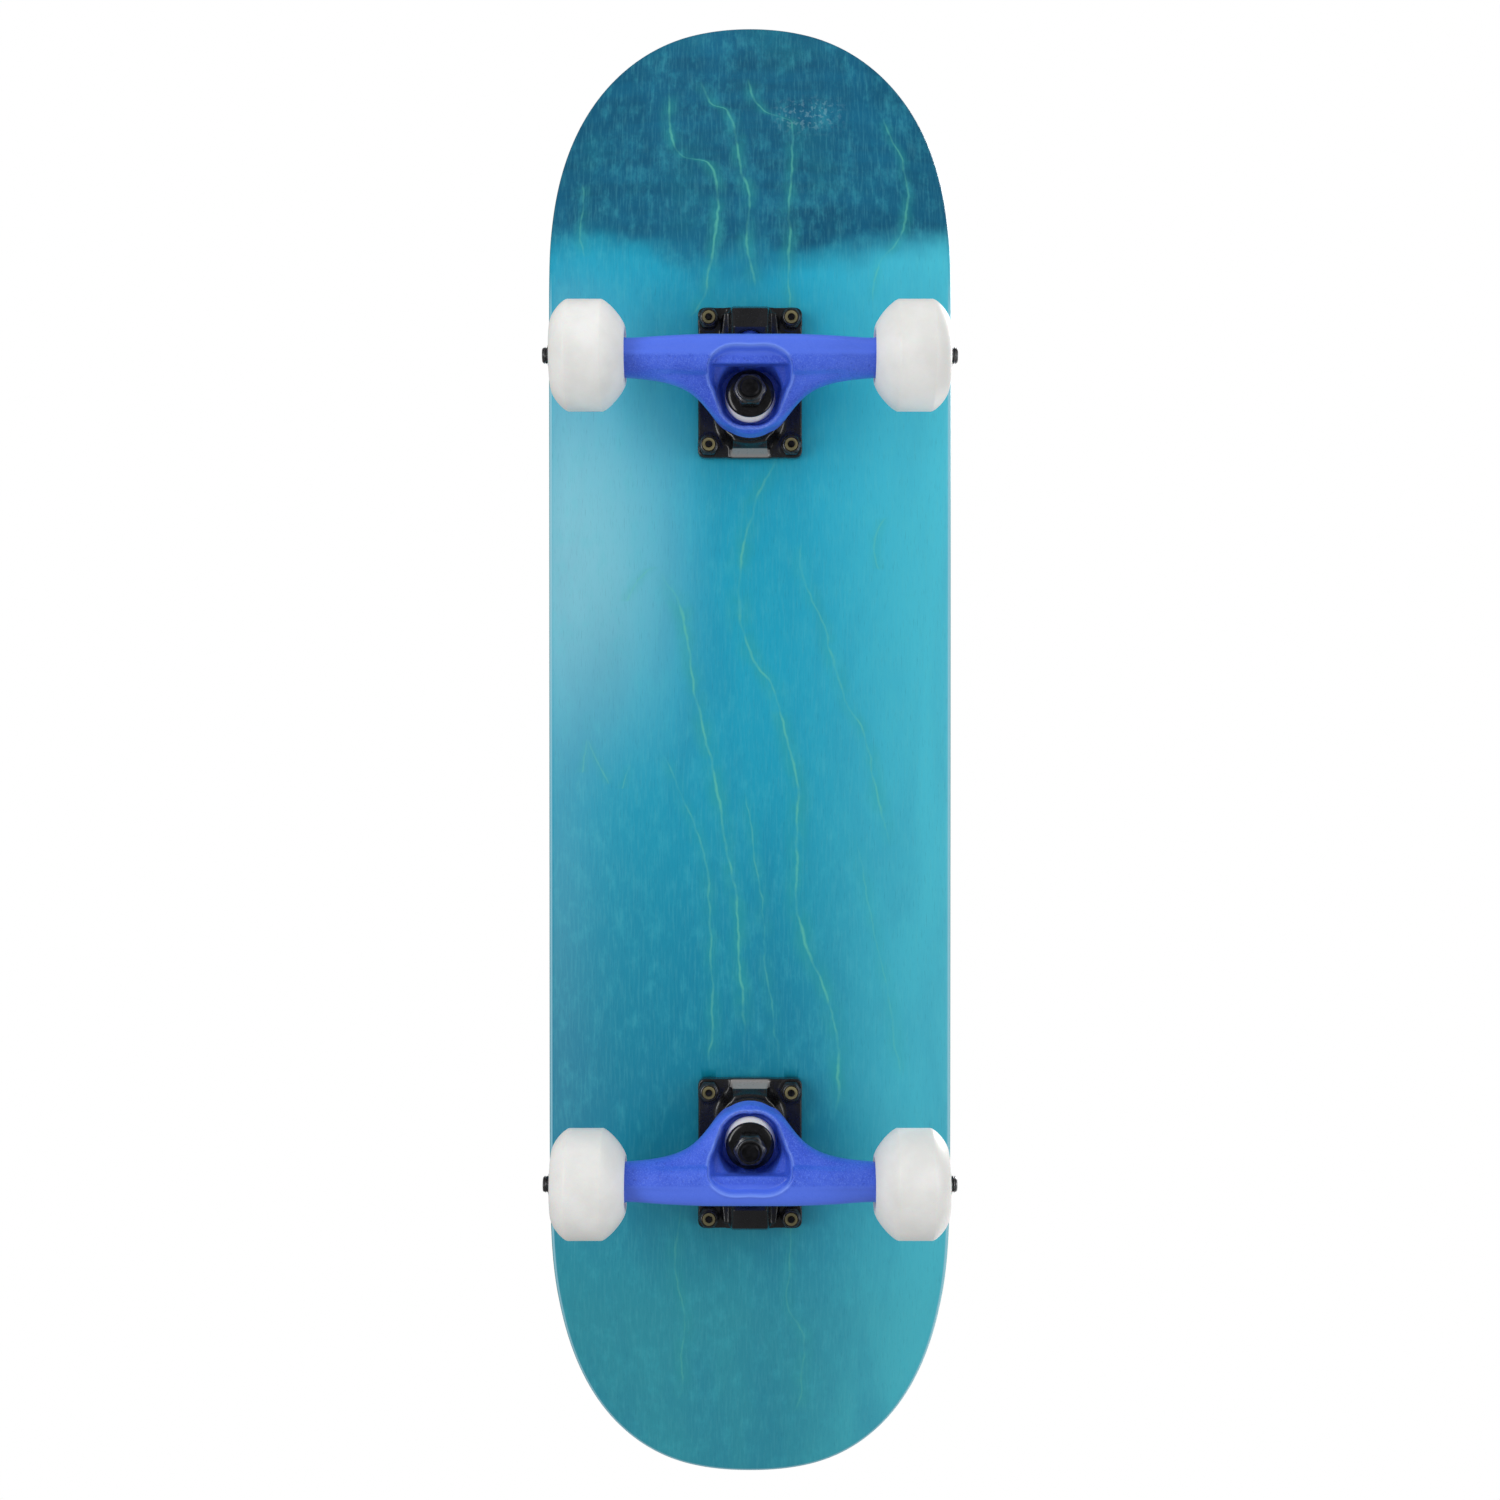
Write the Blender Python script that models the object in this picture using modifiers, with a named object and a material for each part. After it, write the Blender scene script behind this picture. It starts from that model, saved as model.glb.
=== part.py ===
"""A complete street skateboard at its real size, wheels down on z = 0.

Metres. +X is the nose, +Y the left rail, +Z up. The origin is on the floor, midway between the
two tips. Each truck is built in its own frame: +X points to the nearer tip, the origin is the
middle of the mounting face, and "drop" is the distance below that face.
"""

import math

import bmesh
import bpy
from mathutils import Matrix, Vector

MM = 0.001
GAP = 0.3 * MM

# Deck: seven plies, raised rails, two kicked ends
DECK_WIDTH = 206.4 * MM
DECK_THICKNESS = 10.5 * MM
TIP_X = 382.5 * MM
KICK_ANGLE = math.radians(20.0)
KICK_RADIUS = 120.0 * MM
BOLT_TO_BEND = 12.0 * MM
RAIL_RISE = 11.0 * MM
FLAT_SHARE = 0.3
RIM_CHAMFER = 2.5 * MM
GRIP_THICKNESS = 0.8 * MM
GRIP_INSET = 0.5 * MM
NOSE_ROUNDING = {"length": 147.0 * MM, "along": 2.73, "across": 2.09}
TAIL_ROUNDING = {"length": 229.0 * MM, "along": 4.2, "across": 2.22}

# Bolt pattern and where the trucks sit
BOLT_SPACING_X = 63.5 * MM
BOLT_SPACING_Y = 41.3 * MM
FRONT_TRUCK_X = 184.9 * MM
REAR_TRUCK_X = -203.5 * MM

# Wheels, axle and bearings
WHEEL_RADIUS = 26.5 * MM
WHEEL_WIDTH = 35.4 * MM
WHEEL_CENTRE = 77.4 * MM
AXLE_RADIUS = 4.0 * MM
AXLE_HALF = 99.3 * MM
BEARING_RADIUS = 11.0 * MM
BEARING_WIDTH = 7.0 * MM
BEARING_SPACING = 10.0 * MM
SPACER_RADIUS = 5.6 * MM
SPEED_WASHER = 1.0 * MM
AXLE_NUT_FLATS = 12.7 * MM
AXLE_NUT_HEIGHT = 7.2 * MM

# Truck, in its own frame
AXLE_X = 4.5 * MM
AXLE_DROP = 54.0 * MM
PLATE_LENGTH = 75.5 * MM
PLATE_WIDTH = 52.4 * MM
PLATE_THICKNESS = 6.0 * MM
PLATE_CORNER = 3.0 * MM
RIB_WIDTH = 17.6 * MM
SEAT_X = -16.2 * MM
SEAT_DROP = 14.0 * MM
SEAT_RADIUS = 15.6 * MM
KINGPIN_LEAN = math.radians(7.2)
KINGPIN_RADIUS = 4.76 * MM
RING_DISTANCE = 19.0 * MM
RING_RADIUS = 17.4 * MM
RING_HALF = 4.5 * MM
RING_HOLE = 7.0 * MM
PIVOT_X = 29.0 * MM
PIVOT_DROP = 12.0 * MM
NUB_RADIUS = 4.6 * MM
CUP_RADIUS = 6.9 * MM
HANGER_HALF = 63.4 * MM
HANGER_END_RADIUS = 8.7 * MM
HANGER_MIDDLE_RADIUS = 10.3 * MM

# Mounting hardware
BOLT_RADIUS = 2.4 * MM
BOLT_HEAD_RADIUS = 4.8 * MM
BOLT_LENGTH = 25.4 * MM
NUT_FLATS = 9.5 * MM
NUT_HEIGHT = 5.8 * MM
HOLE_RADIUS = 2.75 * MM

DECK_BOTTOM = WHEEL_RADIUS + AXLE_DROP
HALF_WIDTH = DECK_WIDTH / 2
FLAT_HALF = FLAT_SHARE * HALF_WIDTH
SEAT = Vector((SEAT_X, 0, -SEAT_DROP))
KINGPIN_LINE = Vector((math.sin(KINGPIN_LEAN), 0, -math.cos(KINGPIN_LEAN)))
RING_CENTRE = SEAT + RING_DISTANCE * KINGPIN_LINE
PIVOT = Vector((PIVOT_X, 0, -PIVOT_DROP))
STEER_LENGTH = (PIVOT - RING_CENTRE).length
STEER_LINE = (PIVOT - RING_CENTRE) / STEER_LENGTH
AXLE = Vector((AXLE_X, 0, -AXLE_DROP))


def new_collection(name, parent):
    collection = bpy.data.collections.new(name)
    parent.children.link(collection)
    return collection


for old in list(bpy.data.objects):
    bpy.data.objects.remove(old, do_unlink=True)
PARTS = new_collection("skateboard", bpy.context.scene.collection)
CUTTERS = new_collection("cutters", bpy.context.scene.collection)
BOLT_HOLES = new_collection("bolt_holes", CUTTERS)


# Materials

def material(name, colour, roughness, metallic=0.0):
    made = bpy.data.materials.new(name)
    made.use_nodes = True
    made.diffuse_color = (*colour, 1.0)
    shader = made.node_tree.nodes["Principled BSDF"]
    shader.inputs["Base Color"].default_value = (*colour, 1.0)
    shader.inputs["Roughness"].default_value = roughness
    shader.inputs["Metallic"].default_value = metallic
    return made


STAINED_MAPLE = material("stained_maple", (0.025, 0.36, 0.51), 0.45)
GRIT = material("black_grit", (0.012, 0.012, 0.013), 0.95)
BLUE_PAINT = material("blue_paint", (0.085, 0.19, 0.82), 0.38)
BLACK_PAINT = material("black_paint", (0.012, 0.012, 0.013), 0.32)
BLACK_STEEL = material("black_steel", (0.018, 0.018, 0.02), 0.3, 0.6)
BLACK_ZINC = material("black_zinc", (0.03, 0.03, 0.032), 0.35, 0.7)
BARE_STEEL = material("bare_steel", (0.55, 0.55, 0.56), 0.28, 1.0)
WHITE_URETHANE = material("white_urethane", (0.80, 0.79, 0.76), 0.42)
BUSHING_URETHANE = material("bushing_urethane", (0.82, 0.82, 0.80), 0.4)
CUP_URETHANE = material("cup_urethane", (0.05, 0.05, 0.055), 0.5)


# Building blocks

def add_object(name, mesh, look, parent=None, place=(0, 0, 0), turn=(0, 0, 0)):
    obj = bpy.data.objects.new(name, mesh)
    PARTS.objects.link(obj)
    obj.parent = parent
    obj.location = place
    obj.rotation_euler = turn
    if not mesh.materials:
        mesh.materials.append(look)
    return obj


def add_cutter(name, mesh, parent=None, place=(0, 0, 0), turn=(0, 0, 0), collection=CUTTERS):
    """A helper solid: it shapes another part and is no part itself."""
    obj = bpy.data.objects.new(name, mesh)
    collection.objects.link(obj)
    obj.parent = parent
    obj.location = place
    obj.rotation_euler = turn
    obj.hide_render = True
    obj.display_type = "WIRE"
    return obj


def add_empty(name, parent=None, place=(0, 0, 0), turn=(0, 0, 0)):
    obj = bpy.data.objects.new(name, None)
    PARTS.objects.link(obj)
    obj.empty_display_size = 0.02
    obj.parent = parent
    obj.location = place
    obj.rotation_euler = turn
    return obj


def evaluated_mesh(obj):
    """The object's mesh with its modifiers applied, with loose seams welded."""
    bpy.context.view_layer.update()
    graph = bpy.context.evaluated_depsgraph_get()
    mesh = bpy.data.meshes.new_from_object(obj.evaluated_get(graph))
    shape = bmesh.new()
    shape.from_mesh(mesh)
    bmesh.ops.remove_doubles(shape, verts=shape.verts, dist=0.002 * MM)
    shape.to_mesh(mesh)
    shape.free()
    return mesh


def baked(obj):
    """Turns a helper object into its finished mesh."""
    mesh = evaluated_mesh(obj)
    mesh.name = obj.name
    bpy.data.objects.remove(obj, do_unlink=True)
    return mesh


def smooth(mesh, angle=35):
    mesh.shade_smooth()
    mesh.set_sharp_from_angle(angle=math.radians(angle))
    return mesh


def turned(name, profile, segments, flat_down=False):
    """A profile of (radius, height) turned about Z. It runs down the outer side.

    Ends off the axis are joined to each other, which makes a ring. With flat_down a flat
    facet, and no corner, lies at right angles to the X axis, and the flats keep the radius.
    """
    grow = 1 / math.cos(math.pi / segments) if flat_down else 1
    ring = profile[0][0] > 0
    mesh = bpy.data.meshes.new(name)
    verts = [(radius * grow, 0, height) for radius, height in profile]
    edges = [(i, i + 1) for i in range(len(verts) - 1)]
    if ring:
        edges.append((len(verts) - 1, 0))
    mesh.from_pydata(verts, edges, [])
    if flat_down:
        mesh.transform(Matrix.Rotation(math.pi / segments, 4, "Z"))
    helper = add_cutter(name, mesh)
    screw = helper.modifiers.new("turn", "SCREW")
    screw.axis = "Z"
    screw.angle = math.tau
    screw.steps = segments
    screw.render_steps = segments
    screw.use_merge_vertices = True
    screw.merge_threshold = 0.00001
    return smooth(baked(helper))


def disc(radius, top, bottom, hole=0.0, chamfer=0.0):
    """The profile of a plain disc or, with a hole, of a ring."""
    outer = [(radius - chamfer, top), (radius, top - chamfer)] if chamfer else [(radius, top)]
    outer += [(radius, bottom + chamfer), (radius - chamfer, bottom)] if chamfer else [(radius, bottom)]
    if hole:
        return [(hole, top)] + outer + [(hole, bottom)]
    return [(0, top)] + outer + [(0, bottom)]


def circle_points(centre, normal, radius, count, scale_y=1.0):
    """Points round a circle, with the second axis along Y."""
    first = Vector((0, 1, 0)).cross(normal).normalized()
    points = []
    for i in range(count):
        angle = math.tau * (i + 0.5) / count
        across = first * math.cos(angle) * radius
        along_y = Vector((0, 1, 0)) * math.sin(angle) * radius * scale_y
        points.append(centre + across + along_y)
    return points


def hull(name, points):
    """The convex solid round the points."""
    shape = bmesh.new()
    for point in points:
        shape.verts.new(point)
    result = bmesh.ops.convex_hull(shape, input=shape.verts)
    loose = [v for v in result["geom_interior"] if isinstance(v, bmesh.types.BMVert)]
    bmesh.ops.delete(shape, geom=loose, context="VERTS")
    bmesh.ops.recalc_face_normals(shape, faces=shape.faces)
    mesh = bpy.data.meshes.new(name)
    shape.to_mesh(mesh)
    shape.free()
    return mesh


def slab(name, outline, thickness):
    """An outline in X and Z, as thick as told along Y."""
    curve = bpy.data.curves.new(name, "CURVE")
    curve.dimensions = "2D"
    curve.fill_mode = "BOTH"
    curve.extrude = thickness / 2
    spline = curve.splines.new("POLY")
    spline.points.add(len(outline) - 1)
    for point, (x, z) in zip(spline.points, outline):
        point.co = (x, z, 0, 1)
    spline.use_cyclic_u = True
    helper = add_cutter(name, curve)
    mesh = baked(helper)
    mesh.transform(Matrix.Rotation(math.pi / 2, 4, "X"))
    return mesh


def hex_prism(name, flats, top, bottom):
    shape = bmesh.new()
    bmesh.ops.create_cone(
        shape,
        cap_ends=True,
        segments=6,
        radius1=flats / math.sqrt(3),
        radius2=flats / math.sqrt(3),
        depth=top - bottom,
        matrix=Matrix.Translation((0, 0, (top + bottom) / 2)),
    )
    mesh = bpy.data.meshes.new(name)
    shape.to_mesh(mesh)
    shape.free()
    return mesh


def combine(obj, other, operation):
    modifier = obj.modifiers.new(f"{operation.lower()}_{other.name}"[:60], "BOOLEAN")
    modifier.operation = operation
    modifier.solver = "EXACT"
    modifier.object = other
    return obj


def hex_nut(name, flats, height, hole, collar_radius, collar_height):
    """A lock nut: a hexagon, then the round collar that holds its nylon ring, top at z = 0."""
    nut = add_cutter(name, hex_prism(name, flats, 0, collar_height - height))
    collar = add_cutter(
        name + "_collar",
        turned(name + "_collar", disc(collar_radius, collar_height - height + 0.5 * MM, -height), 12),
    )
    bore = add_cutter(name + "_bore", turned(name + "_bore", disc(hole, MM, -height - MM), 10))
    combine(nut, collar, "UNION")
    combine(nut, bore, "DIFFERENCE")
    mesh = smooth(baked(nut))
    for helper in (collar, bore):
        bpy.data.objects.remove(helper, do_unlink=True)
    return mesh


# The deck's form

def end_rows(rounding):
    """Distances from the tip at which the rounded end gets a row of points."""
    rows = []
    for step in range(9):
        share = math.sin(math.radians(11.25 * step))
        rest = (1 - share ** rounding["across"]) ** (1 / rounding["along"])
        rows.append(rounding["length"] * (1 - rest))
    return rows


class DeckForm:
    """Maps (distance along the deck from its middle, share of the half width, height)."""

    def __init__(self):
        self.bends = {
            1: FRONT_TRUCK_X + BOLT_SPACING_X / 2 + BOLT_TO_BEND,
            -1: -REAR_TRUCK_X + BOLT_SPACING_X / 2 + BOLT_TO_BEND,
        }
        self.roundings = {1: NOSE_ROUNDING, -1: TAIL_ROUNDING}

    def reach(self, end):
        """Length along the wood from the middle to a tip."""
        bend_plan = KICK_RADIUS * math.sin(KICK_ANGLE)
        straight = (TIP_X - self.bends[end] - bend_plan) / math.cos(KICK_ANGLE)
        return self.bends[end] + KICK_RADIUS * KICK_ANGLE + straight

    def spine(self, along):
        """Plan position, height and slope of the underside's middle line."""
        end = 1 if along > 0 else -1
        past = abs(along) - self.bends[end]
        if past <= 0:
            return along, 0.0, 0.0
        turn = min(past / KICK_RADIUS, KICK_ANGLE)
        straight = max(past - KICK_RADIUS * KICK_ANGLE, 0.0)
        plan = self.bends[end] + KICK_RADIUS * math.sin(turn) + straight * math.cos(turn)
        rise = KICK_RADIUS * (1 - math.cos(turn)) + straight * math.sin(turn)
        return end * plan, rise, end * turn

    def half_width(self, along, inset):
        end = 1 if along > 0 else -1
        rounding = self.roundings[end]
        from_tip = max(self.reach(end) - inset - abs(along), 0.0)
        left = max(1 - from_tip / rounding["length"], 0.0)
        return (HALF_WIDTH - inset) * (1 - left ** rounding["along"]) ** (1 / rounding["across"])

    def underside(self, along, across):
        """A point of the underside, from distances along and across the wood."""
        plan, rise, slope = self.spine(along)
        lift = RAIL_RISE * (max(abs(across) - FLAT_HALF, 0.0) / (HALF_WIDTH - FLAT_HALF)) ** 2
        return Vector((plan - lift * math.sin(slope), across, DECK_BOTTOM + rise + lift * math.cos(slope)))

    def point(self, along, share, height, inset):
        across = share * self.half_width(along, inset)
        step = 0.5 * MM
        here = self.underside(along, across)
        if height == 0:
            return here
        forward = self.underside(along + step, across) - self.underside(along - step, across)
        sideways = self.underside(along, across + step) - self.underside(along, across - step)
        return here + height * forward.cross(sideways).normalized()

    def rows(self, inset):
        """Distances along the wood, tail tip to nose tip."""
        found = [0.0]
        for end in (-1, 1):
            tip = self.reach(end) - inset
            found += [end * (tip - row) for row in end_rows(self.roundings[end])]
            bend_length = KICK_RADIUS * KICK_ANGLE
            found += [end * (self.bends[end] + bend_length * k / 4) for k in range(5)]
        kept = []
        for along in sorted(found):
            if not kept or along - kept[-1] > 5 * MM or abs(along) > 0.999 * self.reach(1 if along > 0 else -1):
                kept.append(along)
        return kept


DECK = DeckForm()
COLUMNS = (-1, -0.83, -0.62, -FLAT_SHARE, FLAT_SHARE, 0.62, 0.83, 1)


def sheet(name, height, inset):
    """An open surface that follows the deck, at a height above its underside, normals up."""
    shape = bmesh.new()
    grid = []
    for along in DECK.rows(inset):
        grid.append([shape.verts.new(DECK.point(along, share, height, inset)) for share in COLUMNS])
    for lower, upper in zip(grid, grid[1:]):
        for i in range(len(COLUMNS) - 1):
            shape.faces.new((lower[i], upper[i], upper[i + 1], lower[i + 1]))
    bmesh.ops.remove_doubles(shape, verts=shape.verts, dist=0.01 * MM)
    mesh = bpy.data.meshes.new(name)
    shape.to_mesh(mesh)
    shape.free()
    return mesh


def thicken(obj, thickness):
    solidify = obj.modifiers.new("thickness", "SOLIDIFY")
    solidify.thickness = thickness
    solidify.offset = 1
    solidify.use_even_offset = True


def cut_bolt_holes(obj):
    holes = obj.modifiers.new("bolt_holes", "BOOLEAN")
    holes.operation = "DIFFERENCE"
    holes.solver = "EXACT"
    holes.operand_type = "COLLECTION"
    holes.collection = BOLT_HOLES


def build_deck():
    deck = add_object("deck", sheet("deck", 0, 0), STAINED_MAPLE)
    thicken(deck, DECK_THICKNESS)
    rim = deck.modifiers.new("rim", "BEVEL")
    rim.width = RIM_CHAMFER
    rim.segments = 1
    rim.limit_method = "ANGLE"
    rim.angle_limit = math.radians(50)
    cut_bolt_holes(deck)
    grip = add_object("grip_tape", sheet("grip_tape", DECK_THICKNESS + GAP, GRIP_INSET + RIM_CHAMFER), GRIT)
    thicken(grip, GRIP_THICKNESS)
    cut_bolt_holes(grip)


# Mounting bolts, shared by every hole

DECK_TOP_DROP = -(DECK_THICKNESS + GAP + GRIP_THICKNESS)
HEAD_DEPTH = BOLT_HEAD_RADIUS - BOLT_RADIUS
HOLE_PROFILE = [
    (0, -DECK_TOP_DROP + 2 * MM),
    (BOLT_HEAD_RADIUS + GAP, -DECK_TOP_DROP + 2 * MM),
    (BOLT_HEAD_RADIUS + GAP, -DECK_TOP_DROP - 0.4 * MM),
    (HOLE_RADIUS, -DECK_TOP_DROP - 0.4 * MM - HEAD_DEPTH),
    (HOLE_RADIUS, -2 * MM),
    (0, -2 * MM),
]
BOLT_PROFILE = [
    (0, 0),
    (BOLT_HEAD_RADIUS - 0.2 * MM, 0),
    (BOLT_RADIUS, -HEAD_DEPTH),
    (BOLT_RADIUS, 0.6 * MM - BOLT_LENGTH),
    (BOLT_RADIUS - 0.6 * MM, -BOLT_LENGTH),
    (0, -BOLT_LENGTH),
]


def build_mounting_hardware(truck, end):
    hole = turned("bolt_hole", HOLE_PROFILE, 10)
    bolt = turned("mounting_bolt", BOLT_PROFILE, 10)
    nut = hex_nut("mounting_nut", NUT_FLATS, NUT_HEIGHT, HOLE_RADIUS, 4.3 * MM, 1.6 * MM)
    number = 0
    for x in (-1, 1):
        for y in (-1, 1):
            number += 1
            place = (x * BOLT_SPACING_X / 2, y * BOLT_SPACING_Y / 2, 0)
            add_cutter(f"{end}_bolt_hole_{number}", hole, truck, place, collection=BOLT_HOLES)
            under_head = (place[0], place[1], -DECK_TOP_DROP)
            add_object(f"{end}_mounting_bolt_{number}", bolt, BLACK_STEEL, truck, under_head)
            below_plate = (place[0], place[1], -PLATE_THICKNESS - 2 * GAP)
            add_object(f"{end}_mounting_nut_{number}", nut, BLACK_ZINC, truck, below_plate)


# Truck parts that stay with the deck

RIB_OUTLINE = [
    (-37.3 * MM, -1.5 * MM),
    (-37.3 * MM, -6.5 * MM),
    (-33.3 * MM, -12.6 * MM),
    (-30.0 * MM, -15.2 * MM),
    (-2.0 * MM, -11.6 * MM),
    (8.0 * MM, -8.5 * MM),
    (16.5 * MM, -9.0 * MM),
    (19.2 * MM, -18.5 * MM),
    (24.6 * MM, -24.4 * MM),
    (35.0 * MM, -19.5 * MM),
    (36.4 * MM, -16.0 * MM),
    (36.6 * MM, -1.5 * MM),
]
SOCKET_START = 39.5 * MM
SOCKET_END = 50.6 * MM
POCKET_END = -6.3 * MM


def rounded_plate():
    shape = bmesh.new()
    bmesh.ops.create_cube(shape, size=1)
    bmesh.ops.scale(shape, vec=(PLATE_LENGTH, PLATE_WIDTH, PLATE_THICKNESS), verts=shape.verts)
    corners = [e for e in shape.edges if abs(e.verts[0].co.z - e.verts[1].co.z) > PLATE_THICKNESS / 2]
    bmesh.ops.bevel(shape, geom=corners, offset=PLATE_CORNER, segments=3, affect="EDGES")
    mesh = bpy.data.meshes.new("baseplate")
    shape.to_mesh(mesh)
    shape.free()
    mesh.transform(Matrix.Translation((0, 0, -PLATE_THICKNESS / 2 - GAP)))
    return mesh


def build_baseplate(truck, kingpin_line, pivot_line, end):
    plate = add_object(f"{end}_baseplate", rounded_plate(), BLACK_PAINT, truck)
    rib = add_cutter(f"{end}_rib", slab("rib", RIB_OUTLINE, RIB_WIDTH), truck)
    seat_mesh = turned("seat", disc(SEAT_RADIUS, 10.5 * MM, 0), 20)
    seat = add_cutter(f"{end}_seat", seat_mesh, kingpin_line)
    combine(plate, rib, "UNION")
    combine(plate, seat, "UNION")
    pocket_profile = [
        (0, 30 * MM),
        (8.6 * MM, 30 * MM),
        (8.6 * MM, -POCKET_END),
        (KINGPIN_RADIUS + GAP, -POCKET_END),
        (KINGPIN_RADIUS + GAP, -5 * MM),
        (0, -5 * MM),
    ]
    pocket = add_cutter(f"{end}_pocket", turned("pocket", pocket_profile, 16), kingpin_line)
    socket_mesh = turned("socket", disc(CUP_RADIUS + GAP, SOCKET_END, SOCKET_START - 14 * MM), 16)
    socket = add_cutter(f"{end}_socket", socket_mesh, pivot_line)
    combine(plate, pocket, "DIFFERENCE")
    combine(plate, socket, "DIFFERENCE")
    plate_hole = turned("plate_hole", disc(HOLE_RADIUS, 2 * MM, -PLATE_THICKNESS - 3 * MM), 10)
    number = 0
    for x in (-1, 1):
        for y in (-1, 1):
            number += 1
            place = (x * BOLT_SPACING_X / 2, y * BOLT_SPACING_Y / 2, 0)
            hole = add_cutter(f"{end}_plate_hole_{number}", plate_hole, truck, place)
            combine(plate, hole, "DIFFERENCE")
    cup_end = SOCKET_END - GAP
    cup_profile = [
        (0, cup_end),
        (CUP_RADIUS, cup_end),
        (CUP_RADIUS, SOCKET_START),
        (NUB_RADIUS + GAP, SOCKET_START),
        (NUB_RADIUS + GAP, cup_end - 2.6 * MM),
        (0, cup_end - 1.5 * MM),
    ]
    add_object(f"{end}_pivot_cup", turned("pivot_cup", cup_profile, 16), CUP_URETHANE, pivot_line)


# Kingpin stack, measured along the kingpin from its seat on the baseplate

BOARD_WASHER = (0.3 * MM, 2.1 * MM, 15.0 * MM)
BOARD_BUSHING = (2.4 * MM, 14.2 * MM)
ROAD_BUSHING = (23.8 * MM, 31.8 * MM)
TOP_WASHER = (32.1 * MM, 33.9 * MM, 11.8 * MM)
KINGPIN_NUT = (34.2 * MM, 42.0 * MM)
KINGPIN_END = 43.6 * MM
KINGPIN_HEAD = (11.8 * MM, 6.6 * MM, 8.2 * MM)


def build_kingpin_stack(kingpin_line, end):
    hole = KINGPIN_RADIUS + GAP
    head_top, head_bottom, head_radius = KINGPIN_HEAD
    kingpin_profile = [
        (0, head_top),
        (head_radius, head_top),
        (head_radius, head_bottom),
        (KINGPIN_RADIUS, head_bottom),
        (KINGPIN_RADIUS, MM - KINGPIN_END),
        (KINGPIN_RADIUS - MM, -KINGPIN_END),
        (0, -KINGPIN_END),
    ]
    add_object(f"{end}_kingpin", turned("kingpin", kingpin_profile, 14), BLACK_STEEL, kingpin_line)
    for name, (top, bottom, radius) in (("bottom_washer", BOARD_WASHER), ("top_washer", TOP_WASHER)):
        washer = turned(name, disc(radius, -top, -bottom, hole), 20)
        add_object(f"{end}_{name}", washer, BLACK_STEEL, kingpin_line)
    top, bottom = BOARD_BUSHING
    barrel = [
        (hole, -top),
        (12.0 * MM, -top),
        (12.8 * MM, -(top + bottom) / 2),
        (12.0 * MM, -bottom),
        (hole, -bottom),
    ]
    add_object(f"{end}_board_bushing", turned("board_bushing", barrel, 18), BUSHING_URETHANE, kingpin_line)
    top, bottom = ROAD_BUSHING
    cone = [
        (hole, -top),
        (12.4 * MM, -top),
        (12.2 * MM, -top - 2.5 * MM),
        (11.0 * MM, -bottom),
        (hole, -bottom),
    ]
    add_object(f"{end}_road_bushing", turned("road_bushing", cone, 18), BUSHING_URETHANE, kingpin_line)
    top, bottom = KINGPIN_NUT
    nut = hex_nut("kingpin_nut", 14.3 * MM, bottom - top, hole, 6.4 * MM, 1.8 * MM)
    add_object(f"{end}_kingpin_nut", nut, BLACK_ZINC, kingpin_line, (0, 0, -top))


# The hanger, which turns on the pivot and the ring, and carries the axle

def truck_point(x, y, drop):
    return Vector((x, y, -drop)) * MM


def beam_circle(y, radius):
    centre = Vector((AXLE_X, y, -AXLE_DROP))
    turns = (math.tau * (i + 0.5) / 14 for i in range(14))
    return [centre + radius * Vector((math.cos(turn), 0, math.sin(turn))) for turn in turns]


def ring_circle(distance, radius, count, scale_y=1.0):
    return circle_points(SEAT + distance * KINGPIN_LINE, KINGPIN_LINE, radius, count, scale_y)


def hanger_middle():
    points = ring_circle(RING_DISTANCE - RING_HALF, RING_RADIUS, 20)
    points += ring_circle(RING_DISTANCE + RING_HALF, RING_RADIUS, 20)
    for side in (-1, 1):
        points += beam_circle(side * 25 * MM, HANGER_MIDDLE_RADIUS)
        points.append(truck_point(-13.5, side * 25, 44))
        points.append(truck_point(-13.5, side * 24, 52))
    return points


def hanger_wing(side):
    points = beam_circle(side * HANGER_HALF, HANGER_END_RADIUS)
    points += beam_circle(side * 22 * MM, HANGER_MIDDLE_RADIUS - 0.3 * MM)
    points.append(truck_point(-12.6, side * 22, 45))
    points.append(truck_point(-12.6, side * 22, 51))
    points.append(truck_point(-6.6, side * 42, 48))
    points.append(truck_point(-6.6, side * 42, 53))
    return points


def hanger_arm():
    points = circle_points(RING_CENTRE + 26 * MM * STEER_LINE, STEER_LINE, 7.6 * MM, 16)
    points += circle_points(RING_CENTRE + 34 * MM * STEER_LINE, STEER_LINE, 6.6 * MM, 16)
    for side in (-1, 1):
        points += beam_circle(side * 18 * MM, HANGER_END_RADIUS)
    return points


def bowl():
    """The space for the road bushing's nut, from the washer to the hanger's lower face."""
    points = ring_circle(33.5 * MM, 11.4 * MM, 20, 1.3)
    for x, y in ((-1.0, 14.0), (-1.0, 0.0), (-6.0, 17.5), (-20.0, 15.0), (-27.0, 7.0)):
        points += [truck_point(x, side * y, 70) for side in (-1, 1)]
    return points


def nub_profile():
    tip = STEER_LENGTH + 0.2 * MM
    centre = tip - NUB_RADIUS
    profile = [(0, tip)]
    for step in range(1, 4):
        angle = math.radians(30 * step)
        profile.append((NUB_RADIUS * math.sin(angle), centre + NUB_RADIUS * math.cos(angle)))
    return profile + [(NUB_RADIUS, 30 * MM), (0, 30 * MM)]


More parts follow.
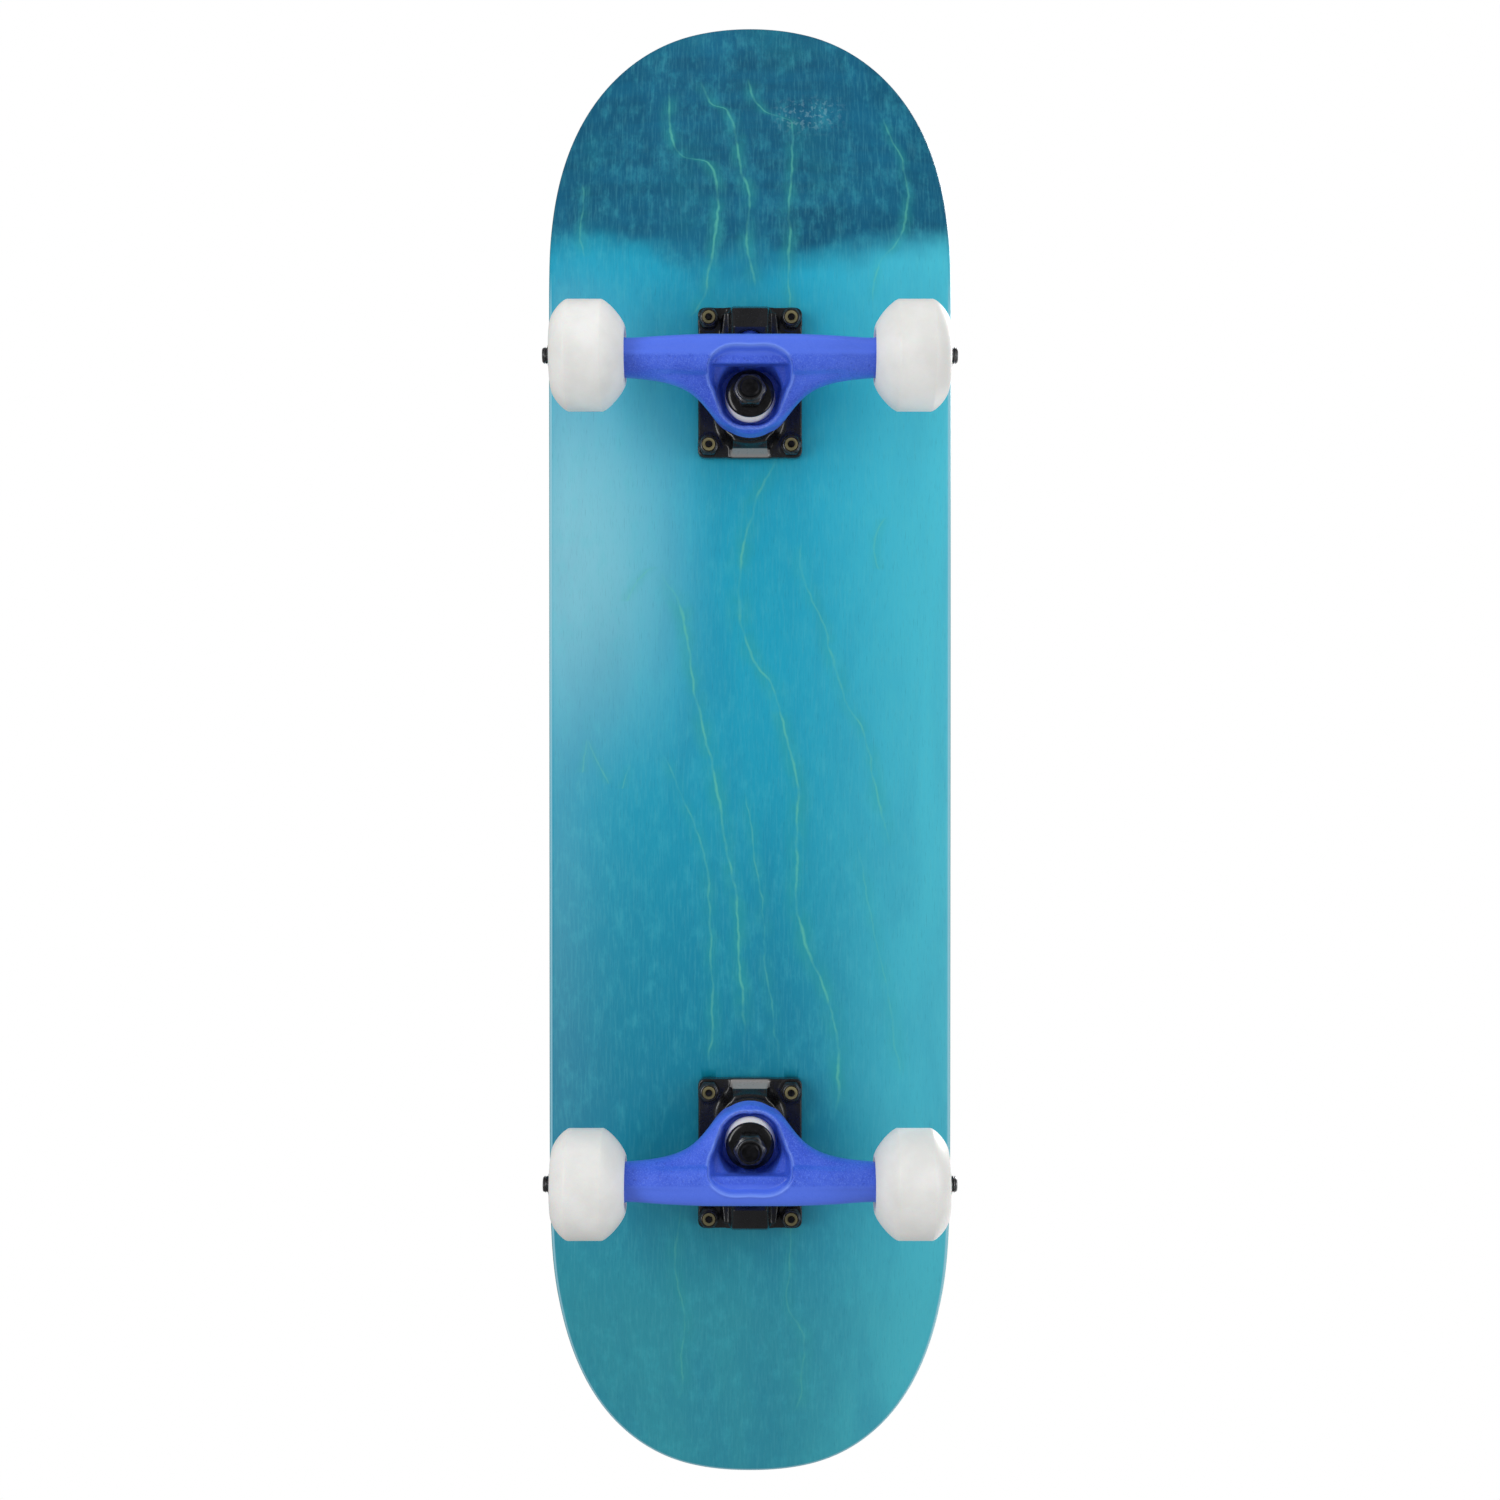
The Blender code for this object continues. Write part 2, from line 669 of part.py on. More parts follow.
def build_hanger(truck, steering, kingpin_line, pivot_line, end):
    middle = hull("hanger", hanger_middle())
    middle.transform(Matrix.Translation(-RING_CENTRE))
    hanger = add_object(f"{end}_hanger", middle, BLUE_PAINT, steering)
    for side in (-1, 1):
        wing = add_cutter(f"{end}_wing_{side + 2}", hull("wing", hanger_wing(side)), truck)
        combine(hanger, wing, "UNION")
    combine(hanger, add_cutter(f"{end}_arm", hull("arm", hanger_arm()), truck), "UNION")
    combine(hanger, add_cutter(f"{end}_nub", turned("nub", nub_profile(), 16), pivot_line), "UNION")
    chamber_mesh = hull(
        "chamber",
        ring_circle(RING_DISTANCE + RING_HALF + 0.1 * MM, 12.9 * MM, 20, 1.15)
        + ring_circle(34.6 * MM, 12.9 * MM, 20, 1.3),
    )
    combine(hanger, add_cutter(f"{end}_chamber", chamber_mesh, truck), "DIFFERENCE")
    combine(hanger, add_cutter(f"{end}_bowl", hull("bowl", bowl()), truck), "DIFFERENCE")
    ring_hole_mesh = turned("ring_hole", disc(RING_HOLE, -8 * MM, -40 * MM), 16)
    combine(hanger, add_cutter(f"{end}_ring_hole", ring_hole_mesh, kingpin_line), "DIFFERENCE")
    bore_mesh = turned("axle_bore", disc(AXLE_RADIUS + GAP, HANGER_HALF + 5 * MM, -HANGER_HALF - 5 * MM), 16)
    bore = add_cutter(f"{end}_axle_bore", bore_mesh, truck, AXLE, (math.pi / 2, 0, 0))
    combine(hanger, bore, "DIFFERENCE")
    axle_profile = disc(AXLE_RADIUS, AXLE_HALF, -AXLE_HALF, chamfer=0.8 * MM)
    axle_place = AXLE - RING_CENTRE
    axle_mesh = turned("axle", axle_profile, 14)
    add_object(f"{end}_axle", axle_mesh, BARE_STEEL, steering, axle_place, (math.pi / 2, 0, 0))


# Wheels, with the axle along the piece's own Z, outwards

INNER_BEARING = HANGER_HALF + SPEED_WASHER - WHEEL_CENTRE
OUTER_BEARING = INNER_BEARING + BEARING_WIDTH + BEARING_SPACING
WHEEL_HALF = WHEEL_WIDTH / 2


def wheel_profile():
    tread_half = 7.5 * MM
    lip_radius = 18.0 * MM
    shoulder = []
    for step in range(3):
        angle = math.radians(45 * step)
        radius = lip_radius + (WHEEL_RADIUS - lip_radius) * math.sin(angle)
        shoulder.append((radius, tread_half + (WHEEL_HALF - tread_half) * math.cos(angle)))
    seat = BEARING_RADIUS + GAP
    land = 9.3 * MM
    outer = [(12.0 * MM, WHEEL_HALF - 1.5 * MM)] + shoulder
    inner = [(radius, -height) for radius, height in reversed(outer)]
    bore = [
        (seat, INNER_BEARING - GAP),
        (seat, INNER_BEARING + BEARING_WIDTH + GAP),
        (land, INNER_BEARING + BEARING_WIDTH + GAP),
        (land, OUTER_BEARING - GAP),
        (seat, OUTER_BEARING - GAP),
        (seat, OUTER_BEARING + BEARING_WIDTH + GAP),
    ]
    return outer + inner + bore


def side_name(end, side):
    """The rear truck is turned round, so its own left is the board's right."""
    left = (side > 0) == (end == "front")
    return f"{end}_{'left' if left else 'right'}"


def build_wheels(steering, end):
    bearing_hole = AXLE_RADIUS + GAP
    wheel = turned("wheel", wheel_profile(), 24, flat_down=True)
    bearing_profile = disc(BEARING_RADIUS, BEARING_WIDTH / 2, -BEARING_WIDTH / 2, bearing_hole)
    bearing = turned("bearing", bearing_profile, 16)
    spacer_half = BEARING_SPACING / 2 - GAP
    spacer = turned("bearing_spacer", disc(SPACER_RADIUS, spacer_half, -spacer_half, bearing_hole), 12)
    nut = hex_nut("axle_nut", AXLE_NUT_FLATS, AXLE_NUT_HEIGHT, bearing_hole, 5.9 * MM, 1.6 * MM)
    for side in (-1, 1):
        name = side_name(end, side)
        outwards = (-side * math.pi / 2, 0, 0)
        line = add_empty(f"{name}_axle_line", steering, AXLE - RING_CENTRE, outwards)
        hub = add_empty(f"{name}_hub", line, (0, 0, WHEEL_CENTRE))
        add_object(f"{name}_wheel", wheel, WHITE_URETHANE, hub)
        inner = (0, 0, INNER_BEARING + BEARING_WIDTH / 2)
        outer = (0, 0, OUTER_BEARING + BEARING_WIDTH / 2)
        add_object(f"{name}_inner_bearing", bearing, BARE_STEEL, hub, inner)
        add_object(f"{name}_outer_bearing", bearing, BARE_STEEL, hub, outer)
        between = WHEEL_CENTRE + INNER_BEARING + BEARING_WIDTH + BEARING_SPACING / 2
        add_object(f"{name}_bearing_spacer", spacer, BARE_STEEL, line, (0, 0, between))
        nut_start = WHEEL_CENTRE + OUTER_BEARING + BEARING_WIDTH + SPEED_WASHER
        add_object(f"{name}_axle_nut", nut, BLACK_ZINC, line, (0, 0, nut_start), (math.pi, 0, 0))


# Assembly

def build_truck(end, x, turn):
    truck = add_empty(f"{end}_truck", None, (x, 0, DECK_BOTTOM), (0, 0, turn))
    kingpin_line = add_empty(f"{end}_kingpin_line", truck, SEAT, (0, -KINGPIN_LEAN, 0))
    tilt = math.atan2(STEER_LINE.x, STEER_LINE.z)
    pivot_line = add_empty(f"{end}_pivot_line", truck, RING_CENTRE, (0, tilt, 0))
    steering = add_empty(f"{end}_steering", truck, RING_CENTRE)
    build_baseplate(truck, kingpin_line, pivot_line, end)
    build_mounting_hardware(truck, end)
    build_kingpin_stack(kingpin_line, end)
    build_hanger(truck, steering, kingpin_line, pivot_line, end)
    build_wheels(steering, end)


build_truck("front", FRONT_TRUCK_X, 0)
build_truck("rear", REAR_TRUCK_X, math.pi)
build_deck()
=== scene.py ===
"""The looks of a street skateboard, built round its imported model.

Every shape is worked out with numpy. Truck parts are made in millimetres in their truck's own frame, from
the mounting face down: x points to the nearer tip, y is across the board, and z is up. The front truck's y
points to the left rail, and the rear truck is the same one turned half round.
"""

import math

import bmesh
import bpy
import numpy as np
from mathutils import Matrix, Vector


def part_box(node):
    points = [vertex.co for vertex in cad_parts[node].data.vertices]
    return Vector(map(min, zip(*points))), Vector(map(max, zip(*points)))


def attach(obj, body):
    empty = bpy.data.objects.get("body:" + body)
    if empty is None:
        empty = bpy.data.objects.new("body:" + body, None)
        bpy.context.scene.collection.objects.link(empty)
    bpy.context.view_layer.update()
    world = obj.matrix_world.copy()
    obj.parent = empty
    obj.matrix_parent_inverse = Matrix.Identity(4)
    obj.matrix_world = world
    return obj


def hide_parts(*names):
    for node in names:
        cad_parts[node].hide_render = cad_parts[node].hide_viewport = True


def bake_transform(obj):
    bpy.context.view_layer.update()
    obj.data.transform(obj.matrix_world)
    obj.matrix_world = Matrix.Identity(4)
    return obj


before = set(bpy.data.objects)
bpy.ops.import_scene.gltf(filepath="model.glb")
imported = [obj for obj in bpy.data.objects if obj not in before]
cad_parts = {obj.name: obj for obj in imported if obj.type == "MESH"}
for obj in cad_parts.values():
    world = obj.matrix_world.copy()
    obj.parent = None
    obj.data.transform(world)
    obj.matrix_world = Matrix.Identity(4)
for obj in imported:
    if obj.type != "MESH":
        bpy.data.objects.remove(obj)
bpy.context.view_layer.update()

MM = 0.001
TAU = math.tau

# Deck
DECK_LOW, DECK_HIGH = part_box("deck")
DECK_BOTTOM = DECK_LOW.z
TIP_X = DECK_HIGH.x
HALF_WIDTH = DECK_HIGH.y / MM
DECK_THICKNESS = 10.5
KICK_ANGLE = math.radians(20.0)
KICK_RADIUS = 120.0
BOLT_TO_BEND = 12.0
RAIL_RISE = 11.0
FLAT_HALF = 0.3 * HALF_WIDTH
NOSE_ROUNDING = {"length": 147.0, "along": 2.73, "across": 2.09}
TAIL_ROUNDING = {"length": 229.0, "along": 4.2, "across": 2.22}
BOLT_SPACING = (63.5, 41.3)
RIM_BULGE = 0.8
GRIP_INSET = 3.0
GRIP_LOW, GRIP_HIGH = 0.05, 0.85

# Truck, in millimetres in its own frame. Places on the kingpin are distances from its seat.
SEAT = np.array([-16.2, 0.0, -14.0])
KINGPIN_LEAN = math.radians(7.2)
KINGPIN = np.array([math.sin(KINGPIN_LEAN), 0.0, -math.cos(KINGPIN_LEAN)])
RING_CENTRE = SEAT + 19.0 * KINGPIN
PIVOT = np.array([29.0, 0.0, -12.0])
STEER_LENGTH = float(np.linalg.norm(PIVOT - RING_CENTRE))
STEER = (PIVOT - RING_CENTRE) / STEER_LENGTH
AXLE = np.array([4.5, 0.0, -54.0])
ACROSS = np.array([0.0, 1.0, 0.0])
DOWN = np.array([0.0, 0.0, -1.0])
HANGER_HALF = 63.4
WASHER = 1.0
BEARING = 7.0
BEARING_GAP = 10.0
INNER_BEARING = HANGER_HALF + WASHER
OUTER_BEARING = INNER_BEARING + BEARING + BEARING_GAP
AXLE_NUT = OUTER_BEARING + BEARING + WASHER
AXLE_HALF = 99.3


# Meshes

def grid(points, wrap_rows=False, wrap_columns=False):
    """A grid of points as a flat list, with a quad between each four neighbours."""
    rows, columns = points.shape[:2]
    index = np.arange(rows * columns).reshape(rows, columns)
    if wrap_rows:
        index = np.vstack([index, index[:1]])
    if wrap_columns:
        index = np.hstack([index, index[:, :1]])
    quads = np.stack([index[:-1, :-1], index[1:, :-1], index[1:, 1:], index[:-1, 1:]], -1)
    return points.reshape(-1, 3), quads.reshape(-1, 4)


def joined(*shapes):
    """Several (points, quads) as one."""
    points = np.vstack([shape[0] for shape in shapes])
    starts = np.cumsum([0] + [len(shape[0]) for shape in shapes[:-1]])
    quads = np.vstack([shape[1] + start for shape, start in zip(shapes, starts)])
    return points, quads


def add_piece(name, shape, look, slot, body=None, stands_for=(), values=None, sharp=38):
    """A mesh from points in metres and quads, welded where points meet, with its faces outwards.

    values holds two numbers a point for each UV map, by the map's name.
    """
    points, quads = shape
    mesh = bpy.data.meshes.new(name)
    mesh.vertices.add(len(points))
    mesh.vertices.foreach_set("co", np.asarray(points, np.float32).ravel())
    mesh.loops.add(quads.size)
    mesh.loops.foreach_set("vertex_index", quads.ravel().astype(np.int32))
    mesh.polygons.add(len(quads))
    mesh.polygons.foreach_set("loop_start", np.arange(0, quads.size, 4, dtype=np.int32))
    mesh.update(calc_edges=True)
    for key, pairs in (values or {}).items():
        layer = mesh.uv_layers.new(name=key)
        layer.data.foreach_set("uv", np.asarray(pairs, np.float32)[quads.ravel()].ravel())
    welded = bmesh.new()
    welded.from_mesh(mesh)
    bmesh.ops.remove_doubles(welded, verts=welded.verts, dist=0.002 * MM)
    bmesh.ops.recalc_face_normals(welded, faces=welded.faces)
    welded.to_mesh(mesh)
    welded.free()
    mesh.shade_smooth()
    mesh.set_sharp_from_angle(angle=math.radians(sharp))
    mesh.materials.append(look)
    piece = bpy.data.objects.new(name, mesh)
    bpy.context.scene.collection.objects.link(piece)
    if body:
        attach(piece, body)
    if stands_for:
        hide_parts(*([stands_for] if isinstance(stands_for, str) else stands_for))
    return piece


def arc(centre, radius, start, end, steps):
    """Points of an arc in a profile, with the angles in degrees."""
    turn = np.radians(np.linspace(start, end, steps + 1))
    return np.stack([centre[0] + radius * np.cos(turn), centre[1] + radius * np.sin(turn)], -1)


def rounded(corners, radius, steps=4, closed=True):
    """A profile whose corners are each replaced by a curve that leaves its two sides at the radius.

    The curve is (1-t)^2 before + 2t(1-t) corner + t^2 after. A corner of three numbers brings its own radius.
    """
    radii = [corner[2] if len(corner) > 2 else radius for corner in corners]
    corners = np.array([corner[:2] for corner in corners], float)
    share = np.linspace(0, 1, steps + 1)[:, None]
    parts = []
    for i, corner in enumerate(corners):
        if not closed and i in (0, len(corners) - 1) or radii[i] == 0:
            parts.append(corner[None])
            continue
        before, after = corners[i - 1], corners[(i + 1) % len(corners)]
        gone, left = np.linalg.norm(before - corner), np.linalg.norm(after - corner)
        first = corner + (before - corner) * min(radii[i] / gone, 0.49)
        last = corner + (after - corner) * min(radii[i] / left, 0.49)
        parts.append((1 - share) ** 2 * first + 2 * share * (1 - share) * corner + share**2 * last)
    return np.vstack(parts)


def spokes(line, segments):
    """Directions out of a line, evenly round it: first x cos a + second x sin a.

    Both are at right angles to the line, which lies along y or has no y at all.
    """
    if abs(line[1]) > 0.5:
        first, second = np.array([1.0, 0.0, 0.0]), np.array([0.0, 0.0, 1.0])
    else:
        first, second = np.cross(ACROSS, line), ACROSS
        first = first / np.linalg.norm(first)
    turn = np.linspace(0, TAU, segments, endpoint=False)
    return np.cos(turn)[:, None] * first + np.sin(turn)[:, None] * second


def carried(radii, distances, origin, line, closed=True):
    """A surface round a line, whose rows each have a radius at every angle: radii is (rows, segments).

    Each point is origin + distance x line + radius x spoke.
    """
    distances = distances if np.ndim(distances) > 1 else distances[:, None]
    points = origin + distances[..., None] * line + radii[..., None] * spokes(line, radii.shape[1])
    return grid(points, wrap_rows=closed, wrap_columns=True)


def turned(profile, origin, line, segments=64, closed=True):
    """A profile of (radius, distance along the line) turned round the line."""
    profile = np.asarray(profile, float)
    return carried(np.repeat(profile[:, :1], segments, axis=1), profile[:, 1], origin, line, closed)


def hexagon(flats, segments=96, rounding=0.035):
    """Distance from the middle of a hexagon to its side at each angle, with its corners a little blunt."""
    turn = np.linspace(0, TAU, segments, endpoint=False)
    off_side = (turn + TAU / 12) % (TAU / 6) - TAU / 12
    return np.minimum(flats / 2 / np.cos(off_side), flats / 2 * (2 / math.sqrt(3) - rounding))


def hex_nut(flats, height, bore, collar, collar_height, origin, line):
    """A lock nut from its seat at distance 0: a hexagon under a 30 degree cone, then a rolled round collar.

    Each row's radius is the lesser of the hexagon's and the cone's at that height.
    """
    corner = flats / math.sqrt(3)
    body = height - collar_height
    lip = 0.7
    rows = [(bore, 0.0), (bore + 0.3, 0.0), (flats * 0.46, 0.0), (flats * 0.485, 0.12), (flats * 0.515, 0.55)]
    rows += [(corner, 1.3), (corner, body - 1.3), (flats * 0.53, body - 0.55), (flats * 0.49, body - 0.1)]
    rows += [(collar + 0.25, body), (collar, body + 0.2)]
    rows += [tuple(point) for point in arc((collar - lip, height - lip), lip, 0, 90, 4)]
    rows += [(bore + 0.85, height), (bore + 0.55, height - 0.25), (bore + 0.5, height - 0.9)]
    rows += [(bore, height - 1.0)]
    limits = np.array(rows)
    return carried(np.minimum(hexagon(flats), limits[:, :1]), limits[:, 1], origin, line)


def hex_head(flats, low, high, origin, line):
    """A plain hexagon head with chamfered corners, closed at both ends on the line."""
    limits = np.array([
        (0, low), (flats * 0.49, low), (flats * 0.53, low + 0.5), (flats, low + 1.4),
        (flats, high), (0, high),
    ])
    return carried(np.minimum(hexagon(flats), limits[:, :1]), limits[:, 1], origin, line, closed=False)


THREAD_DEPTH = 0.54
ROWS_A_TURN = 7


def threaded_rod(radius, start, end, thread_from, pitch, origin, line, segments=40, chamfer=0.7, pilot=None):
    """A rod with a chamfered end and a screw thread from thread_from to the end.

    Past thread_from the radius dips by THREAD_DEPTH x pitch x a saw wave of (distance / pitch - angle / full
    turn), taken to the power 1.3. A pilot is the radius and length of a plain thinner tip.
    """
    rows = np.concatenate([[start], np.arange(thread_from, end, pitch / ROWS_A_TURN), [end]])
    turn = np.linspace(0, 1, segments, endpoint=False)
    phase = (rows[:, None] / pitch - turn[None]) % 1
    cut = THREAD_DEPTH * pitch * np.abs(2 * phase - 1) ** 1.3
    ramp = np.clip((rows - thread_from) / pitch, 0, 1)[:, None]
    radii = np.minimum(radius - cut * ramp, radius - chamfer + (end - rows)[:, None])
    if pilot:
        radii = np.where((rows > end - pilot[1])[:, None], np.minimum(radii, pilot[0]), radii)
    on_line = np.zeros((1, segments))
    radii = np.vstack([on_line, radii, on_line])
    return carried(radii, np.concatenate([[start], rows, [end]]), origin, line, closed=False)


# Cast forms, as signed distances: negative inside, in millimetres

def smooth_join(a, b, blend):
    """Two forms as one, with a fillet: the lesser distance, less blend x h (1 - h) where they are near."""
    h = np.clip(0.5 + 0.5 * (b - a) / blend, 0, 1)
    return b + (a - b) * h - blend * h * (1 - h)


def smooth_both(a, b, blend):
    """What lies in both forms, with its edge rounded."""
    return -smooth_join(-a, -b, blend)


def smooth_cut(a, b, blend):
    """The first form without the second, with its edge rounded."""
    return -smooth_join(-a, b, blend)


def ease(value, start, end):
    """0 before start and 1 after end, with a smooth step 3t^2 - 2t^3 between."""
    t = np.clip((value - start) / (end - start), 0, 1)
    return t * t * (3 - 2 * t)


def spindle(p, a, b, radius_a, radius_b):
    """A bar with round ends whose radius runs evenly from one end to the other."""
    a, b = np.asarray(a, float), np.asarray(b, float)
    t = np.clip((p - a) @ (b - a) / ((b - a) @ (b - a)), 0, 1)
    return np.linalg.norm(p - a - t[:, None] * (b - a), axis=1) - (radius_a + t * (radius_b - radius_a))


def cylinder(p, origin, line, radius, start, end, edge=0.5):
    """A cylinder from start to end along a line, with rounded edges."""
    offset = p - origin
    along = offset @ line
    out = np.sqrt(np.maximum((offset**2).sum(1) - along**2, 0)) - radius + edge
    over = np.maximum(start - along, along - end) + edge
    return np.hypot(np.maximum(out, 0), np.maximum(over, 0)) + np.minimum(np.maximum(out, over), 0) - edge


def box_form(p, centre, half, edge):
    """A box with rounded edges."""
    q = np.abs(p - np.asarray(centre, float)) - np.asarray(half, float) + edge
    return np.linalg.norm(np.maximum(q, 0), axis=1) + np.minimum(q.max(1), 0) - edge


def polygon_form(x, z, corners):
    """The signed distance to a polygon.

    It is the nearest side's distance, and negative where a line to the right crosses an odd number of sides.
    """
    corners = np.asarray(corners, float)
    best = np.full(len(x), 1e9)
    inside = np.zeros(len(x), bool)
    for (ax, az), (bx, bz) in zip(corners, np.roll(corners, -1, 0)):
        dx, dz = bx - ax, bz - az
        t = np.clip(((x - ax) * dx + (z - az) * dz) / (dx * dx + dz * dz), 0, 1)
        best = np.minimum(best, np.hypot(x - ax - t * dx, z - az - t * dz))
        if dz:
            inside ^= ((az > z) != (bz > z)) & (x < (z - az) * dx / dz + ax)
    return np.where(inside, -best, best)


# A cell's corners are numbered by their three steps as binary digits, so two on an edge differ in one digit
EDGES = [(a, b) for a in range(8) for b in range(8) if a < b and bin(a ^ b).count("1") == 1]


def skinned(form, low, high, cell):
    """The surface where a form's distance is 0, as points and quads.

    Each cell of a grid that the surface crosses gets one point: the mean of where it crosses the cell's
    edges, then drawn onto the surface along the slope of the distance. Each grid edge that it crosses gets
    one quad, which joins the points of the four cells round that edge.
    """
    axes = [np.arange(a - cell, b + 2 * cell, cell) for a, b in zip(low, high)]
    places = np.stack(np.meshgrid(*axes, indexing="ij"), -1)
    shape = places.shape[:3]
    field = form(places.reshape(-1, 3)).reshape(shape)
    corner_steps = np.array([[c & 1, c >> 1 & 1, c >> 2 & 1] for c in range(8)])
    cells = [size - 1 for size in shape]
    ends = [[slice(step, step + size) for step, size in zip(steps, cells)] for steps in corner_steps]
    corners = np.stack([field[tuple(end)] for end in ends], -1)
    crossed = (corners < 0).any(-1) & (corners >= 0).any(-1)
    where = np.argwhere(crossed)
    values = corners[crossed]
    total, count = np.zeros((len(where), 3)), np.zeros(len(where))
    for a, b in EDGES:
        va, vb = values[:, a], values[:, b]
        cuts = (va < 0) != (vb < 0)
        t = np.where(cuts, va / np.where(cuts, va - vb, 1), 0)[:, None]
        total += cuts[:, None] * (corner_steps[a] * (1 - t) + corner_steps[b] * t)
        count += cuts
    start = np.array([axis[0] for axis in axes])
    points = start + (where + total / count[:, None]) * cell
    step = 0.05
    for _ in range(3):
        here = form(points)
        slope = np.stack([(form(points + step * unit) - here) / step for unit in np.eye(3)], -1)
        move = here[:, None] * slope / np.maximum((slope**2).sum(1), 0.2)[:, None]
        points -= np.clip(move, -0.5 * cell, 0.5 * cell)
    index = np.full(crossed.shape, -1)
    index[crossed] = np.arange(len(where))
    signs = field < 0
    units = np.eye(3, dtype=int)
    quads = []
    for axis in range(3):
        one, two = [i for i in range(3) if i != axis]
        ahead = [slice(None)] * 3
        behind = [slice(None)] * 3
        ahead[axis], behind[axis] = slice(1, None), slice(None, -1)
        for at in np.argwhere(signs[tuple(ahead)] != signs[tuple(behind)]).reshape(1, -1, 3):
            a, b = units[one], units[two]
            ring = [at - a - b, at - b, at, at - a]
            quads.append(np.stack([index[tuple(corner.T)] for corner in ring], -1))
    return points, np.vstack(quads)


# Trucks: the two castings

CREASE_X = 3.7
FACE_DROP = 63.6
FACE_SLOPE = 0.70
BEAM_HALF = 62.0
BEAM_RADIUS = 8.45
BEAM_SWELL = 1.35
COLLAR_RADIUS = 8.7
RING_RADIUS = 17.4
RING_TOP, RING_FACE = 14.5, 23.5
RING_HOLE = 7.0
ROAD_SEAT_RADIUS = 12.9
WELL_RADIUS = 15.6
BOWL_DEPTH = 7.0
LEDGE_DROP = 58.9
YOKE_LENGTH = 35.2
NUB_RADIUS = 4.6
AXLE_BORE = 4.3


def hanger_outline(side):
    """The web's inner edge at each distance from its middle: -4.2 - 21.9 / (1 + ((side - 12.3) / 12.6)^2)."""
    return -4.2 - 21.9 / (1 + ((side - 12.3) / 12.6) ** 2)


def web_face(x, drop):
    """The distance from the web's sloping lower face, which starts at the crease under the axle."""
    return (drop - FACE_DROP + FACE_SLOPE * (CREASE_X - x)) / math.hypot(1, FACE_SLOPE)


def bowl_outline(x, side):
    """The bowl's mouth from below: an egg through the ring, and a flat arch towards the pivot."""
    plan = np.stack([x, side], -1)
    egg = spindle(plan, (-13.4, 2.2), (-4.6, 8.2), 14.6, 12.0)
    arch = smooth_both(np.hypot(x + 21.2, side) - 28.7, -1.8 - x, 2.0)
    arch = smooth_both(arch, side - 20.4, 4.0)
    return smooth_join(egg, arch, 3.0)


